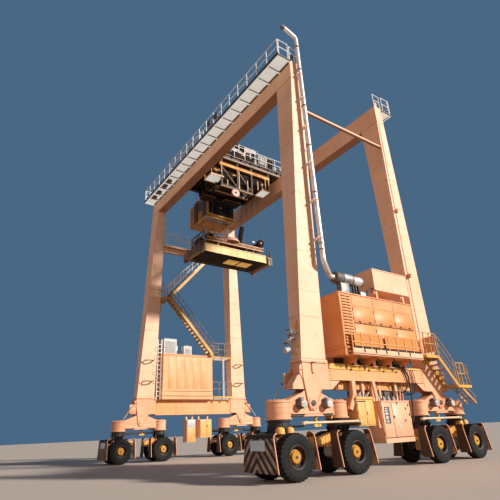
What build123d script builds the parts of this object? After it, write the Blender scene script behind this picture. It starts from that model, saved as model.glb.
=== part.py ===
from build123d import *
import os

# A rubber tyred container yard crane: two box girders on four tapered legs, a trolley that
# runs between the girders with a cabin and a telescopic spreader, and a sixteen wheel
# running gear with four equaliser beams. X is the span, with the generator at +X, Y is the
# way the crane travels and Z is up. The origin lies on the ground below the crane's centre.

os.makedirs("parts", exist_ok=True)

# Driving dimensions, all in millimetres
leg_foot_out = 8900
leg_foot_width = 620
leg_foot_side = 4460
leg_foot_depth = 1280
leg_head_out = 9120
leg_head_width = 1220
leg_head_side = 3670
leg_head_depth = 620
flange_level = 4040
flange_thickness = 60
flange_lip = 35
girder_bottom = 18500
girder_top = 19720
girder_end = 9130
rail_width = 70
rail_height = 80
sill_bottom = 3340
sill_top = 3920
sill_web_bottom = 3010
sill_web_reach = 2450
left_sill_bottom = 2900
pivot_y = 4070
pivot_z = 2480
axle_spacing = 2900
tyre_radius = 750
tyre_width = 430
twin_offset = 740
axle_radius = 90
running_gap = 5
pin_gap = 0.5
seat_gap = 0.3

# Places that follow from them
leg_foot_x = leg_foot_out - leg_foot_width / 2
leg_foot_y = leg_foot_side - leg_foot_depth / 2
leg_head_x = leg_head_out - leg_head_width / 2
leg_head_y = leg_head_side - leg_head_depth / 2
foot_inner_y = leg_foot_side - leg_foot_depth
bogie_x = leg_foot_x
unit_near_y = pivot_y - axle_spacing / 2
unit_far_y = pivot_y + axle_spacing / 2

CORNERS = {
    "near_right": (1, -1),
    "far_right": (1, 1),
    "near_left": (-1, -1),
    "far_left": (-1, 1),
}


def leg_share(level):
    """How far up the tapered leg a level lies, from 0 at the flange to 1 at the girder."""
    return (level - flange_level - flange_thickness) / (girder_bottom - flange_level - flange_thickness)


def outer_face_x(level):
    """Distance from the centre to a leg's outer face at a level."""
    return leg_foot_out + (leg_head_out - leg_foot_out) * leg_share(level)


def inner_face_x(level):
    """Distance from the centre to the face of a leg that looks at the load."""
    width = leg_foot_width + (leg_head_width - leg_foot_width) * leg_share(level)
    return outer_face_x(level) - width


def end_face_y(level):
    """Distance from the centre to a leg's face that looks along the travel, away from the centre."""
    return leg_foot_side + (leg_head_side - leg_foot_side) * leg_share(level)


def gap_face_y(level):
    """Distance from the centre to a leg's face that looks at the other leg of its frame."""
    depth = leg_foot_depth + (leg_head_depth - leg_foot_depth) * leg_share(level)
    return end_face_y(level) - depth


def block(x_from, x_to, y_from, y_to, z_from, z_to):
    """Add a box between two opposite corners to the part being built."""
    with Locations(((x_from + x_to) / 2, (y_from + y_to) / 2, (z_from + z_to) / 2)):
        Box(abs(x_to - x_from), abs(y_to - y_from), abs(z_to - z_from))


def strut(start, end, width, height=None):
    """Add a square bar, or a flat one, from one point to another."""
    run = Vector(*end) - Vector(*start)
    side = Vector(0, 0, 1).cross(run)
    if side.length < 1:
        side = Vector(1, 0, 0)
    with BuildSketch(Plane(origin=start, x_dir=side, z_dir=run)) as section:
        Rectangle(width, height or width)
    extrude(section.sketch, amount=run.length)


def tube(start, end, radius):
    """Add a round bar from one point to another."""
    run = Vector(*end) - Vector(*start)
    with BuildSketch(Plane(origin=start, z_dir=run)) as section:
        Circle(radius)
    extrude(section.sketch, amount=run.length)


def railing(start, end, height, spacing=1000, bar=40):
    """Add posts along a line with a top rail, a knee rail and a toe board between them."""
    run = Vector(*end) - Vector(*start)
    bays = max(1, round(run.length / spacing))
    for index in range(bays + 1):
        foot = Vector(*start) + run * (index / bays)
        block(foot.X - bar / 2, foot.X + bar / 2, foot.Y - bar / 2, foot.Y + bar / 2, foot.Z, foot.Z + height)
    for level in (height - bar / 2, height * 0.52):
        strut((start[0], start[1], start[2] + level), (end[0], end[1], end[2] + level), bar)


def flight(start, end, x_from, x_to, string_height=180, string_thickness=30, tread_depth=230):
    """Add a stair flight that climbs along Y between two strings, with level treads."""
    rise = end[1] - start[1]
    run = end[0] - start[0]
    steps = max(2, round(abs(rise) / 230))
    for string_x in (x_from + string_thickness / 2, x_to - string_thickness / 2):
        strut((string_x, start[0], start[1]), (string_x, end[0], end[1]), string_thickness, string_height)
    for index in range(steps):
        share = (index + 0.5) / steps
        y = start[0] + run * share
        z = start[1] + rise * share
        block(x_from, x_to, y - tread_depth / 2, y + tread_depth / 2, z - 15, z + 15)


# Legs: tapered boxes, narrow in the span at the foot and narrow along the travel at the head
for corner, (side_x, side_y) in CORNERS.items():
    with BuildPart() as leg:
        with BuildSketch(Plane.XY.offset(flange_level + flange_thickness)):
            with Locations((side_x * leg_foot_x, side_y * leg_foot_y)):
                Rectangle(leg_foot_width, leg_foot_depth)
        with BuildSketch(Plane.XY.offset(girder_bottom)):
            with Locations((side_x * leg_head_x, side_y * leg_head_y)):
                Rectangle(leg_head_width, leg_head_depth)
        loft(ruled=True)
        with Locations((side_x * leg_foot_x, side_y * leg_foot_y, flange_level + flange_thickness / 2)):
            Box(leg_foot_width + 2 * flange_lip, leg_foot_depth + 2 * flange_lip, flange_thickness)
    leg.part.label = f"{corner}_leg"
    export_step(leg.part, f"parts/{corner}_leg.step")

# Leg feet: a closed block below each flange, with two cheek plates that hold the rocker pin
cheek_thickness = 45
cheek_tip_radius = 230
pin_radius = 110
foot_bottom = 2980
foot_reach_y = 3090
with BuildPart() as leg_feet:
    for side_x, side_y in CORNERS.values():
        cheek_line = [
            (side_y * leg_foot_side, flange_level),
            (side_y * leg_foot_side, 3450),
            (side_y * 4380, foot_bottom),
            (side_y * (pivot_y + cheek_tip_radius), pivot_z),
            (side_y * (pivot_y + 120), pivot_z - cheek_tip_radius),
            (side_y * (pivot_y - 120), pivot_z - cheek_tip_radius),
            (side_y * (pivot_y - cheek_tip_radius), pivot_z),
            (side_y * 3560, foot_bottom),
            (side_y * foot_reach_y, foot_bottom),
            (side_y * foot_reach_y, flange_level),
        ]
        for cheek_x in (leg_foot_out - leg_foot_width, leg_foot_out - cheek_thickness):
            with BuildSketch(Plane.YZ.offset(min(side_x * cheek_x, side_x * (cheek_x + cheek_thickness)))):
                with BuildLine():
                    Polyline(cheek_line, close=True)
                make_face()
            extrude(amount=cheek_thickness)
        block(
            side_x * (leg_foot_out - leg_foot_width), side_x * leg_foot_out,
            side_y * leg_foot_side, side_y * foot_reach_y, 3340, flange_level,
        )
        with BuildSketch(Plane.YZ.offset(side_x * leg_foot_x)):
            with Locations((side_y * pivot_y, pivot_z)):
                Circle(pin_radius + pin_gap)
        extrude(amount=leg_foot_width, both=True, mode=Mode.SUBTRACT)
leg_feet.part.label = "leg_feet"
export_step(leg_feet.part, "parts/leg_feet.step")

# Sill beams: closed boxes along the travel between the feet of each end frame
with BuildPart() as right_sill_beam:
    block(8310, 8890, -foot_reach_y, foot_reach_y, sill_bottom, sill_top)
    block(8310, 8590, -sill_web_reach, sill_web_reach, sill_web_bottom, sill_bottom)
right_sill_beam.part.label = "right_sill_beam"
export_step(right_sill_beam.part, "parts/right_sill_beam.step")

with BuildPart() as left_sill_beam:
    block(-8890, -8310, -foot_reach_y, foot_reach_y, left_sill_bottom, sill_top)
left_sill_beam.part.label = "left_sill_beam"
export_step(left_sill_beam.part, "parts/left_sill_beam.step")

# Girders: two closed boxes over the span, one on each pair of legs
for name, side_y in (("near_girder", -1), ("far_girder", 1)):
    with BuildPart() as girder:
        block(
            -girder_end, girder_end,
            side_y * (leg_head_side - leg_head_depth), side_y * leg_head_side,
            girder_bottom, girder_top,
        )
    girder.part.label = name
    export_step(girder.part, f"parts/{name}.step")

# Trolley rails: one on the top plate of each girder, with a stop block at each end
rail_y = leg_head_y
rail_end = 9050
with BuildPart() as trolley_rails:
    for side_y in (-1, 1):
        block(
            -rail_end, rail_end, side_y * rail_y - rail_width / 2, side_y * rail_y + rail_width / 2,
            girder_top, girder_top + rail_height,
        )
        for stop_x in (-rail_end, rail_end - 150):
            block(stop_x, stop_x + 150, side_y * rail_y - 110, side_y * rail_y + 110, girder_top, girder_top + 520)
trolley_rails.part.label = "trolley_rails"
export_step(trolley_rails.part, "parts/trolley_rails.step")

# End frame ties: a tube between the right legs and a bridge with a deck between the left legs
tie_level = 16750
tie_radius = 95
tie_end = gap_face_y(tie_level + tie_radius)
with BuildPart() as right_tie_tube:
    tube((8950, -tie_end, tie_level), (8950, tie_end, tie_level), tie_radius)
right_tie_tube.part.label = "right_tie_tube"
export_step(right_tie_tube.part, "parts/right_tie_tube.step")

bridge_deck_top = 15560
bridge_out = -8300
bridge_in = -7640
bridge_end_y = gap_face_y(bridge_deck_top) - seat_gap
with BuildPart() as cross_bridge:
    block(bridge_out, bridge_out + 240, -bridge_end_y, bridge_end_y, bridge_deck_top - 460, bridge_deck_top - 40)
    block(bridge_out, bridge_in, -bridge_end_y, bridge_end_y, bridge_deck_top - 40, bridge_deck_top)
    block(bridge_in - 50, bridge_in, -bridge_end_y, bridge_end_y, bridge_deck_top - 160, bridge_deck_top - 40)
    for rib_y in range(-2800, 2801, 1400):
        block(bridge_out, bridge_in - 20, rib_y - 40, rib_y + 40, bridge_deck_top - 160, bridge_deck_top - 35)
cross_bridge.part.label = "cross_bridge"
export_step(cross_bridge.part, "parts/cross_bridge.step")

# Walkways outside both girders: grating on cross bars that stand out from the web
walk_outer_y = 4520
walk_top = 19600
walk_from_x = -8900
walk_to_x = 9200
walk_bays = 19
bar_pitch = (walk_to_x - walk_from_x) / walk_bays
with BuildPart() as girder_walkways:
    for side_y in (-1, 1):
        inner = side_y * leg_head_side
        outer = side_y * walk_outer_y
        block(walk_from_x, walk_to_x, inner, outer, walk_top - 40, walk_top)
        block(walk_from_x, walk_to_x, outer - side_y * 60, outer, walk_top - 130, walk_top - 35)
        for index in range(walk_bays + 1):
            bar_x = min(max(walk_from_x + index * bar_pitch, walk_from_x + 40), walk_to_x - 40)
            block(bar_x - 40, bar_x + 40, inner, outer, walk_top - 130, walk_top - 35)
girder_walkways.part.label = "girder_walkways"
export_step(girder_walkways.part, "parts/girder_walkways.step")

# Generator house with the platform that carries it over the right sill
house_in = 7650
house_out = 9400
house_near = -2500
house_far = 2450
house_floor = 4560
house_roof = 6950
with BuildPart() as generator_house:
    block(house_in, house_out, house_near, house_far, house_floor, house_roof)
    fillet(generator_house.edges().filter_by(Axis.Y).group_by(Axis.Z)[-1], radius=60)
generator_house.part.label = "generator_house"
export_step(generator_house.part, "parts/generator_house.step")

platform_out = 9640
with BuildPart() as generator_platform:
    block(house_in - 30, house_out + 20, house_near - 20, house_far + 20, 4270, house_floor)
    block(house_out + 20, platform_out, -2300, 2300, 4270, 4330)
    for bracket_y in (-1850, -750, 350, 1450):
        block(house_in, 9300, bracket_y - 60, bracket_y + 60, 4110, 4270)
        block(8310, 8890, bracket_y - 60, bracket_y + 60, sill_top, 4110)
generator_platform.part.label = "generator_platform"
export_step(generator_platform.part, "parts/generator_platform.step")

# Cooler box on four feet over the far half of the generator house roof
with BuildPart() as cooler_box:
    block(7900, 9200, 200, 2750, 7450, 8500)
    for foot_x in (8000, 9100):
        for foot_y in (350, 2300):
            block(foot_x - 50, foot_x + 50, foot_y - 50, foot_y + 50, house_roof, 7450)
cooler_box.part.label = "cooler_box"
export_step(cooler_box.part, "parts/cooler_box.step")

# Muffler on its saddles on the roof, and the exhaust pipe that climbs the near right leg
muffler_x = 8950
muffler_z = 7760
muffler_radius = 265
muffler_front = -2150
muffler_back = -450
pipe_radius = 115
pipe_x = 9330
pipe_low = 8250
pipe_low_y = -3090
pipe_high = 21330
pipe_high_y = -3240
pipe_tip_y = -4190
pipe_tip = 21638


def pipe_line_y(level):
    """Where the leaning pipe stands along the travel at a level."""
    return pipe_low_y + (pipe_high_y - pipe_low_y) * (level - pipe_low) / (pipe_high - pipe_low)


with BuildPart() as muffler:
    tube((muffler_x, muffler_front, muffler_z), (muffler_x, muffler_front + 1000, muffler_z), muffler_radius)
    tube((muffler_x, muffler_front + 1000, muffler_z), (muffler_x, muffler_back, muffler_z), 215)
    for saddle_y in (muffler_front + 300, muffler_back - 400):
        block(muffler_x - 130, muffler_x + 130, saddle_y - 60, saddle_y + 60, house_roof, muffler_z - 100)
muffler.part.label = "muffler"
export_step(muffler.part, "parts/muffler.step")

with BuildPart() as exhaust_pipe:
    with BuildLine() as pipe_path:
        FilletPolyline(
            (muffler_x, muffler_front, muffler_z),
            (muffler_x, muffler_front - 270, muffler_z),
            (pipe_x, pipe_low_y, pipe_low),
            (pipe_x, pipe_high_y, pipe_high),
            (pipe_x, pipe_tip_y, pipe_tip),
            radius=260,
        )
    with BuildSketch(Plane(pipe_path.line @ 0, z_dir=pipe_path.line % 0)):
        Circle(pipe_radius)
    sweep()
    for clip_z in (9300, 11200, 13200, 15300, 17100, 18700):
        clip_root = outer_face_x(clip_z + 50) if clip_z < girder_bottom else girder_end
        clip_y = pipe_line_y(clip_z) - 110
        block(clip_root, pipe_x + 60, clip_y - 50, clip_y + 50, clip_z - 50, clip_z + 50)
exhaust_pipe.part.label = "exhaust_pipe"
export_step(exhaust_pipe.part, "parts/exhaust_pipe.step")

# Cabinets that hang under the sills on pairs of posts
with BuildPart() as hanging_cabinets:
    block(8450, 9050, -1880, -910, 1600, 2690)
    block(8350, 9150, -570, 1290, 930, 2540)
    for post_y in (-1700, -1050, -450, 1100):
        block(8600, 8760, post_y - 50, post_y + 50, 2500, sill_bottom)
    block(-8900, -8150, 360, 1290, 1330, 2540)
    block(-8900, -8250, -650, 20, 1070, 2560)
    for post_y in (450, 1190, -550, -80):
        block(-8680, -8560, post_y - 50, post_y + 50, 2500, left_sill_bottom)
hanging_cabinets.part.label = "hanging_cabinets"
export_step(hanging_cabinets.part, "parts/hanging_cabinets.step")

# Access stair at the far right corner: a landing, a flight, a lower landing and a ladder
stair_in = 8960
stair_out = 9650
landing_end = 5800
ladder_in = 9120
ladder_head_y = 4950
ladder_foot_y = 5980
ladder_foot_z = 2400
with BuildPart() as access_stair:
    block(stair_in, stair_out, 2560, 3560, 4450, 4500)
    block(outer_face_x(4490), stair_in + 20, 3200, 3500, 4250, 4490)
    flight((4700, 3180), (3500, 4480), stair_in, stair_out)
    block(stair_in, stair_out, 4620, landing_end, 3150, 3200)
    for ladder_x in (ladder_in, stair_out - 60):
        strut((ladder_x, ladder_foot_y, ladder_foot_z), (ladder_x, ladder_head_y, 3160), 30, 90)
    for rung in range(5):
        share = (rung + 0.5) / 5
        rung_y = ladder_head_y + (ladder_foot_y - ladder_head_y) * share
        rung_z = 3160 + (ladder_foot_z - 3160) * share
        block(ladder_in, stair_out - 60, rung_y - 15, rung_y + 15, rung_z - 15, rung_z + 15)
    block(leg_foot_out, stair_in + 60, 4200, 4300, 3620, 3720)
access_stair.part.label = "access_stair"
export_step(access_stair.part, "parts/access_stair.step")

# Electrical house on the left sill, with the air units on its roof
electric_in = -7900
electric_out = -9650
electric_near_y = -2800
electric_top = 7080
with BuildPart() as electrical_house:
    block(electric_out, electric_in, electric_near_y, 1250, sill_top, electric_top)
electrical_house.part.label = "electrical_house"
export_step(electrical_house.part, "parts/electrical_house.step")

with BuildPart() as roof_air_units:
    block(-8800, -8050, -2700, -1700, 7080, 8200)
    block(-8500, -8050, -1100, -450, 7080, 7750)
    block(-9500, -8950, -2600, -1200, 7080, 7900)
roof_air_units.part.label = "roof_air_units"
export_step(roof_air_units.part, "parts/roof_air_units.step")

# Platforms beside the electrical house, at its floor and at its roof
with BuildPart() as left_platforms:
    block(-9200, -7950, 1250, 3060, 4060, 4120)
    block(-9200, -7950, 1250, 3060, 7020, 7080)
    block(-8890, -8310, 1300, 3000, sill_top, 4070)
    block(-9150, -9050, 2940, 3040, 4120, 7030)
    # Ladder between the near left leg and the electrical house
    for string_y in (-3110, -2840):
        block(-8200, -8140, string_y - 20, string_y + 20, sill_top, 8100)
    for rung_z in range(4150, 8000, 300):
        block(-8190, -8150, -3110, -2840, rung_z - 15, rung_z + 15)
    for bracket_z in (4400, 6700):
        block(-8200, -8140, -2840, electric_near_y - seat_gap, bracket_z, bracket_z + 60)
left_platforms.part.label = "left_platforms"
export_step(left_platforms.part, "parts/left_platforms.step")

# Zigzag stair from the electrical house roof up to the bridge
landing_level = 11250
with BuildPart() as zigzag_stair:
    flight((1150, 7180), (-2450, landing_level - 60), -8280, -7640)
    block(-8960, -7640, -3050, -2400, landing_level - 60, landing_level)
    flight((-2450, landing_level - 20), (1300, 15400), -8960, -8320)
    block(-8280, -7640, 960, 1240, electric_top + seat_gap, electric_top + 100)
    block(-8960, bridge_out - seat_gap, 1250, 2050, bridge_deck_top - 60, bridge_deck_top)
zigzag_stair.part.label = "zigzag_stair"
export_step(zigzag_stair.part, "parts/zigzag_stair.step")

# Cable hooks: open arcs that stand out from the inner faces of the left legs
with BuildPart() as cable_hooks:
    for side_y in (-1, 1):
        for hook_z in (5080, 6500):
            hook_y = side_y * 3800
            face_x = -inner_face_x(hook_z + 60) + seat_gap
            with BuildSketch(Plane.XY.offset(hook_z)):
                with Locations((face_x + 100, hook_y)):
                    Circle(330)
                    Circle(280, mode=Mode.SUBTRACT)
                with Locations((face_x - 400, hook_y)):
                    Rectangle(1000, 800, mode=Mode.SUBTRACT)
            extrude(amount=60)
            for end_y in (hook_y - 305, hook_y + 305):
                block(face_x, face_x + 140, end_y - 25, end_y + 25, hook_z, hook_z + 60)
cable_hooks.part.label = "cable_hooks"
export_step(cable_hooks.part, "parts/cable_hooks.step")

# Floodlights and a horn on the near face of the near right leg
with BuildPart() as floodlights:
    for lamp_x, lamp_z, lamp_half in ((8740, 5090, 110), (8490, 4820, 140), (8470, 4480, 115)):
        block(lamp_x - 40, lamp_x + 40, -4700, -end_face_y(lamp_z - 30), lamp_z - 30, lamp_z + 30)
        block(
            lamp_x - lamp_half, lamp_x + lamp_half, -4900, -4640, lamp_z - lamp_half, lamp_z + lamp_half,
        )
floodlights.part.label = "floodlights"
export_step(floodlights.part, "parts/floodlights.step")

# Railings of every walkway, platform and landing on the frame; each straight side stands by itself
rail_height_top = 1080
rail_inset = 30
rail_corner_gap = 70
rail_post_pitch = 950
walk_end_rail_y = 3800
girder_rail_x = 9105
landing_rail_end = 5420
with BuildPart() as railings:
    for side_y in (-1, 1):
        edge_y = walk_outer_y - rail_inset
        railing(
            (girder_rail_x, side_y * 3090, girder_top), (girder_rail_x, side_y * 3640, girder_top),
            walk_top + rail_height_top - girder_top,
        )
        railing(
            (walk_from_x + rail_inset, side_y * edge_y, walk_top), (walk_to_x - rail_inset, side_y * edge_y, walk_top),
            rail_height_top, rail_post_pitch,
        )
        for end_x in (walk_from_x + rail_inset, walk_to_x - rail_inset):
            railing(
                (end_x, side_y * (edge_y - rail_corner_gap), walk_top), (end_x, side_y * walk_end_rail_y, walk_top),
                rail_height_top,
            )
    railing((bridge_out + 20, -3000, bridge_deck_top), (bridge_out + 20, 350, bridge_deck_top), rail_height_top)
    railing((bridge_in - 20, -3000, bridge_deck_top), (bridge_in - 20, 3000, bridge_deck_top), rail_height_top)
    railing((platform_out - 30, -2270, 4330), (platform_out - 30, 2270, 4330), 880, 560)
    railing((-7980, 1300, 7080), (-7980, 3020, 7080), rail_height_top, 580)
    railing((-7980, 1300, 4120), (-7980, 3020, 4120), rail_height_top, 580)
    railing((-9170, 1300, 7080), (-9170, 3020, 7080), rail_height_top, 860)
    railing((stair_out - 20, 2600, 4500), (stair_out - 20, 3480, 4500), rail_height_top, 440)
    railing((stair_out - 20, 4800, 3200), (stair_out - 20, landing_rail_end, 3200), rail_height_top, 350)
    railing((-7660, -2980, landing_level), (-8940, -2980, landing_level), rail_height_top, 650)
railings.part.label = "railings"
export_step(railings.part, "parts/railings.step")

# Equaliser beams: one at each corner, rocking on the pin between the cheeks of the leg foot
beam_half = (leg_foot_width - 2 * cheek_thickness) / 2 - running_gap
drum_radius = 440
drum_bottom = 1930
drum_top = 2550
kingpin_radius = 140
for corner, (side_x, side_y) in CORNERS.items():
    centre_x = side_x * bogie_x
    with BuildPart() as equaliser:
        beam_line = [
            (side_y * unit_far_y, 2050),
            (side_y * unit_near_y, 2050),
            (side_y * unit_near_y, 2480),
            (side_y * (pivot_y - 330), 2900),
            (side_y * (pivot_y + 330), 2900),
            (side_y * unit_far_y, 2480),
        ]
        with BuildSketch(Plane.YZ.offset(centre_x)):
            with BuildLine():
                Polyline(beam_line, close=True)
            make_face()
        extrude(amount=beam_half, both=True)
        for unit_y in (unit_near_y, unit_far_y):
            with BuildSketch(Plane.XY.offset(drum_bottom)):
                with Locations((centre_x, side_y * unit_y)):
                    Circle(drum_radius)
            extrude(amount=drum_top - drum_bottom)
            with BuildSketch(Plane.XY.offset(drum_bottom)):
                with Locations((centre_x, side_y * unit_y)):
                    Circle(kingpin_radius + pin_gap)
            extrude(amount=300, mode=Mode.SUBTRACT)
        with BuildSketch(Plane.YZ.offset(centre_x)):
            with Locations((side_y * pivot_y, pivot_z)):
                Circle(pin_radius)
        extrude(amount=leg_foot_width / 2 + 40, both=True)
        for motor_y in (pivot_y - 640, pivot_y + 640):
            tube(
                (side_x * (bogie_x + beam_half - 5), side_y * motor_y, 2440),
                (side_x * (bogie_x + 560), side_y * motor_y, 2440), 150,
            )
    equaliser.part.label = f"{corner}_equaliser"
    export_step(equaliser.part, f"parts/{corner}_equaliser.step")

# Axle units: each hangs on a kingpin under a drum and carries one pair of wheels
ring_top = drum_bottom - running_gap
ring_radius = 390
guard_reach = 900
guard_half_width = 980
guard_bottom = 300
guard_top = 1340
guard_thickness = 30
guard_slant = 170
guard_inner_x = 490
rod_level = 1790
rod_pin_radius = 35
rod_arm = 620
for corner, (side_x, side_y) in CORNERS.items():
    centre_x = side_x * bogie_x
    for place, unit_y, outward in (("inner", unit_near_y, -1), ("outer", unit_far_y, 1)):
        centre_y = side_y * unit_y
        with BuildPart() as axle_unit:
            with BuildSketch(Plane.XY.offset(1640)):
                with Locations((centre_x, centre_y)):
                    Circle(ring_radius)
            extrude(amount=ring_top - 1640)
            with BuildSketch(Plane.XY.offset(ring_top)):
                with Locations((centre_x, centre_y)):
                    Circle(kingpin_radius)
            extrude(amount=260)
            block(centre_x - 210, centre_x + 210, centre_y - 300, centre_y + 300, 520, 1640)
            with BuildSketch(Plane.YZ.offset(centre_x)):
                with Locations((centre_y, tyre_radius)):
                    Circle(axle_radius + pin_gap)
            extrude(amount=300, both=True, mode=Mode.SUBTRACT)
            for way in (-1, 1):
                guard_y = centre_y + way * guard_reach
                block(centre_x - 80, centre_x + 80, centre_y + way * 290, guard_y, 950, 1110)
                at_crane_end = place == "outer" and way == side_y
                inner_x = 0 if at_crane_end else guard_inner_x
                for side in (-1, 1):
                    with BuildSketch(Plane.XZ.offset(-guard_y - guard_thickness / 2)):
                        with BuildLine():
                            Polyline(
                                (centre_x + side * inner_x, guard_bottom),
                                (centre_x + side * guard_half_width, guard_bottom),
                                (centre_x + side * (guard_half_width - guard_slant), guard_top),
                                (centre_x + side * inner_x, guard_top),
                                close=True,
                            )
                        make_face()
                    extrude(amount=guard_thickness)
                if not at_crane_end:
                    guard_bar = guard_thickness / 2
                    block(
                        centre_x - guard_inner_x - 50, centre_x + guard_inner_x + 50,
                        guard_y - guard_bar, guard_y + guard_bar, 960, 1100,
                    )
            arm_end = (centre_x + side_x * rod_arm, centre_y - side_y * rod_arm)
            strut((centre_x, centre_y, 1685), (*arm_end, 1685), 180, 70)
            tube((*arm_end, 1650), (*arm_end, rod_level + 60), rod_pin_radius)
            motor_way = -outward * side_y
            tube(
                (centre_x, centre_y + motor_way * 290, 800),
                (centre_x, centre_y + motor_way * 700, 800), 170,
            )
        axle_unit.part.label = f"{corner}_{place}_axle_unit"
        export_step(axle_unit.part, f"parts/{corner}_{place}_axle_unit.step")

        # Wheel pairs: two tyres on their rims, joined by the axle through the gearbox
        with BuildPart() as wheels:
            with BuildSketch(Plane.YZ.offset(centre_x)):
                with Locations((centre_y, tyre_radius)):
                    Circle(axle_radius)
            extrude(amount=twin_offset, both=True)
            for twin in (-1, 1):
                wheel_x = centre_x + twin * twin_offset
                with BuildSketch(Plane.YZ.offset(wheel_x)):
                    with Locations((centre_y, tyre_radius)):
                        Circle(tyre_radius)
                extrude(amount=tyre_width / 2, both=True)
                fillet(
                    wheels.edges().filter_by(GeomType.CIRCLE).filter_by(lambda edge: edge.radius > tyre_radius - 1)
                    .filter_by_position(Axis.X, wheel_x - tyre_width, wheel_x + tyre_width),
                    radius=70,
                )
                with BuildSketch(Plane.YZ.offset(wheel_x + twin * tyre_width / 2)):
                    with Locations((centre_y, tyre_radius)):
                        Circle(330)
                extrude(amount=-twin * 150, mode=Mode.SUBTRACT)
                with BuildSketch(Plane.YZ.offset(wheel_x)):
                    with Locations((centre_y, tyre_radius)):
                        Circle(150)
                extrude(amount=twin * (tyre_width / 2 - 30))
        wheels.part.label = f"{corner}_{place}_wheels"
        export_step(wheels.part, f"parts/{corner}_{place}_wheels.step")

    # Tie rods: each holds the two axle units of one corner parallel
    with BuildPart() as tie_rod:
        rod_x = side_x * (bogie_x + rod_arm)
        rod_ends = (side_y * (unit_near_y - rod_arm), side_y * (unit_far_y - rod_arm))
        tube((rod_x, rod_ends[0], rod_level), (rod_x, rod_ends[1], rod_level), 45)
        for end_y in rod_ends:
            tube((rod_x, end_y, rod_level - 50), (rod_x, end_y, rod_level + 50), 85)
            with BuildSketch(Plane.XY.offset(rod_level - 60)):
                with Locations((rod_x, end_y)):
                    Circle(rod_pin_radius + pin_gap)
            extrude(amount=120, mode=Mode.SUBTRACT)
    tie_rod.part.label = f"{corner}_tie_rod"
    export_step(tie_rod.part, f"parts/{corner}_tie_rod.step")

# Trolley frame: two end carriages over the rails, four cross beams and a deck
trolley_x = -3150
rope_x = 780
rope_y = 2050
trolley_half = 2650
carriage_bottom = girder_top + rail_height + 110
carriage_top = 20300
deck_top = 20340
underframe_bottom = 17600
gear_case_out = trolley_x - 1100
gear_case_in = trolley_x + 850
gear_case_reach = 1450
gear_case_bottom = 19050
with BuildPart() as trolley_frame:
    for side_y in (-1, 1):
        block(
            trolley_x - trolley_half, trolley_x + trolley_half,
            side_y * rail_y - 160, side_y * rail_y + 160, carriage_bottom, carriage_top,
        )
        for wheel_x in (trolley_x - 2000, trolley_x + 2000):
            with BuildSketch(Plane.XZ.offset(-side_y * rail_y)):
                with Locations((wheel_x, girder_top + rail_height + seat_gap + 240)):
                    Circle(240)
            extrude(amount=60, both=True)
    for beam_x in (trolley_x - 2500, trolley_x - 1250, trolley_x + 1250, trolley_x + 2500):
        block(beam_x - 140, beam_x + 140, -rail_y, rail_y, 19880, carriage_top)
    block(
        trolley_x - trolley_half, trolley_x + trolley_half, -3850, 3850, carriage_top, deck_top,
    )
    for side_x in (-1, 1):
        for side_y in (-1, 1):
            block(
                trolley_x + side_x * rope_x - 130, trolley_x + side_x * rope_x + 130,
                side_y * rope_y - 420, side_y * rope_y + 420, 19880, carriage_top,
            )
    # Hoist guides and gear cases under the middle of the deck, between the rope falls
    block(gear_case_out, gear_case_in, -gear_case_reach, gear_case_reach, gear_case_bottom, carriage_top)
    # Underslung service frame that carries the lower sheaves at the span side of the deck
    for frame_x in (trolley_x + 1750, trolley_x + 2550):
        block(frame_x - 70, frame_x + 70, -2200, 2200, 19300, 19520)
        block(frame_x - 60, frame_x + 60, -2100, 600, underframe_bottom, underframe_bottom + 140)
        for post_y in (-2050, -700, 540, 2100):
            low = underframe_bottom if post_y < 1000 else 18300
            block(frame_x - 60, frame_x + 60, post_y - 60, post_y + 60, low, 19890)
    for tie_y in (-2050, 540):
        block(trolley_x + 1750, trolley_x + 2550, tie_y - 60, tie_y + 60, underframe_bottom, underframe_bottom + 140)
    tube((trolley_x + 2600, -950, underframe_bottom - 250), (trolley_x + 2700, -950, underframe_bottom - 250), 300)
    block(trolley_x + 2500, trolley_x + 2610, -1050, -850, underframe_bottom - 300, underframe_bottom + 100)
trolley_frame.part.label = "trolley_frame"
export_step(trolley_frame.part, "parts/trolley_frame.step")

# Hoist machinery: the rope drum on its bearings, gearbox, motor and the cabinets on the deck
drum_axis_z = 20950
with BuildPart() as deck_machinery:
    tube((-3900, -1500, drum_axis_z), (-3900, 1300, drum_axis_z), 400)
    block(-4300, -3500, -1750, -1500, deck_top, 21400)
    block(-4250, -3550, 1300, 2300, deck_top, 21500)
    block(-3500, -3000, 1500, 2100, deck_top, 21000)
    block(-1400, -650, 1400, 2750, deck_top, 21400)
    block(-1900, -700, -1100, 1200, deck_top, 21750)
deck_machinery.part.label = "deck_machinery"
export_step(deck_machinery.part, "parts/deck_machinery.step")

# Trolley railing: four straight sides round the deck, with a small gap at each corner
across_reach = trolley_half - rail_inset - rail_corner_gap
with BuildPart() as trolley_railing:
    deck_edges = (
        ((trolley_x + trolley_half - 30, -3800), (trolley_x + trolley_half - 30, 3800)),
        ((trolley_x - trolley_half + 30, -3800), (trolley_x - trolley_half + 30, 3800)),
        ((trolley_x - across_reach, -3820), (trolley_x + across_reach, -3820)),
        ((trolley_x - across_reach, 3820), (trolley_x + across_reach, 3820)),
    )
    for edge_start, edge_end in deck_edges:
        railing((*edge_start, deck_top), (*edge_end, deck_top), rail_height_top)
trolley_railing.part.label = "trolley_railing"
export_step(trolley_railing.part, "parts/trolley_railing.step")

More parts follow.
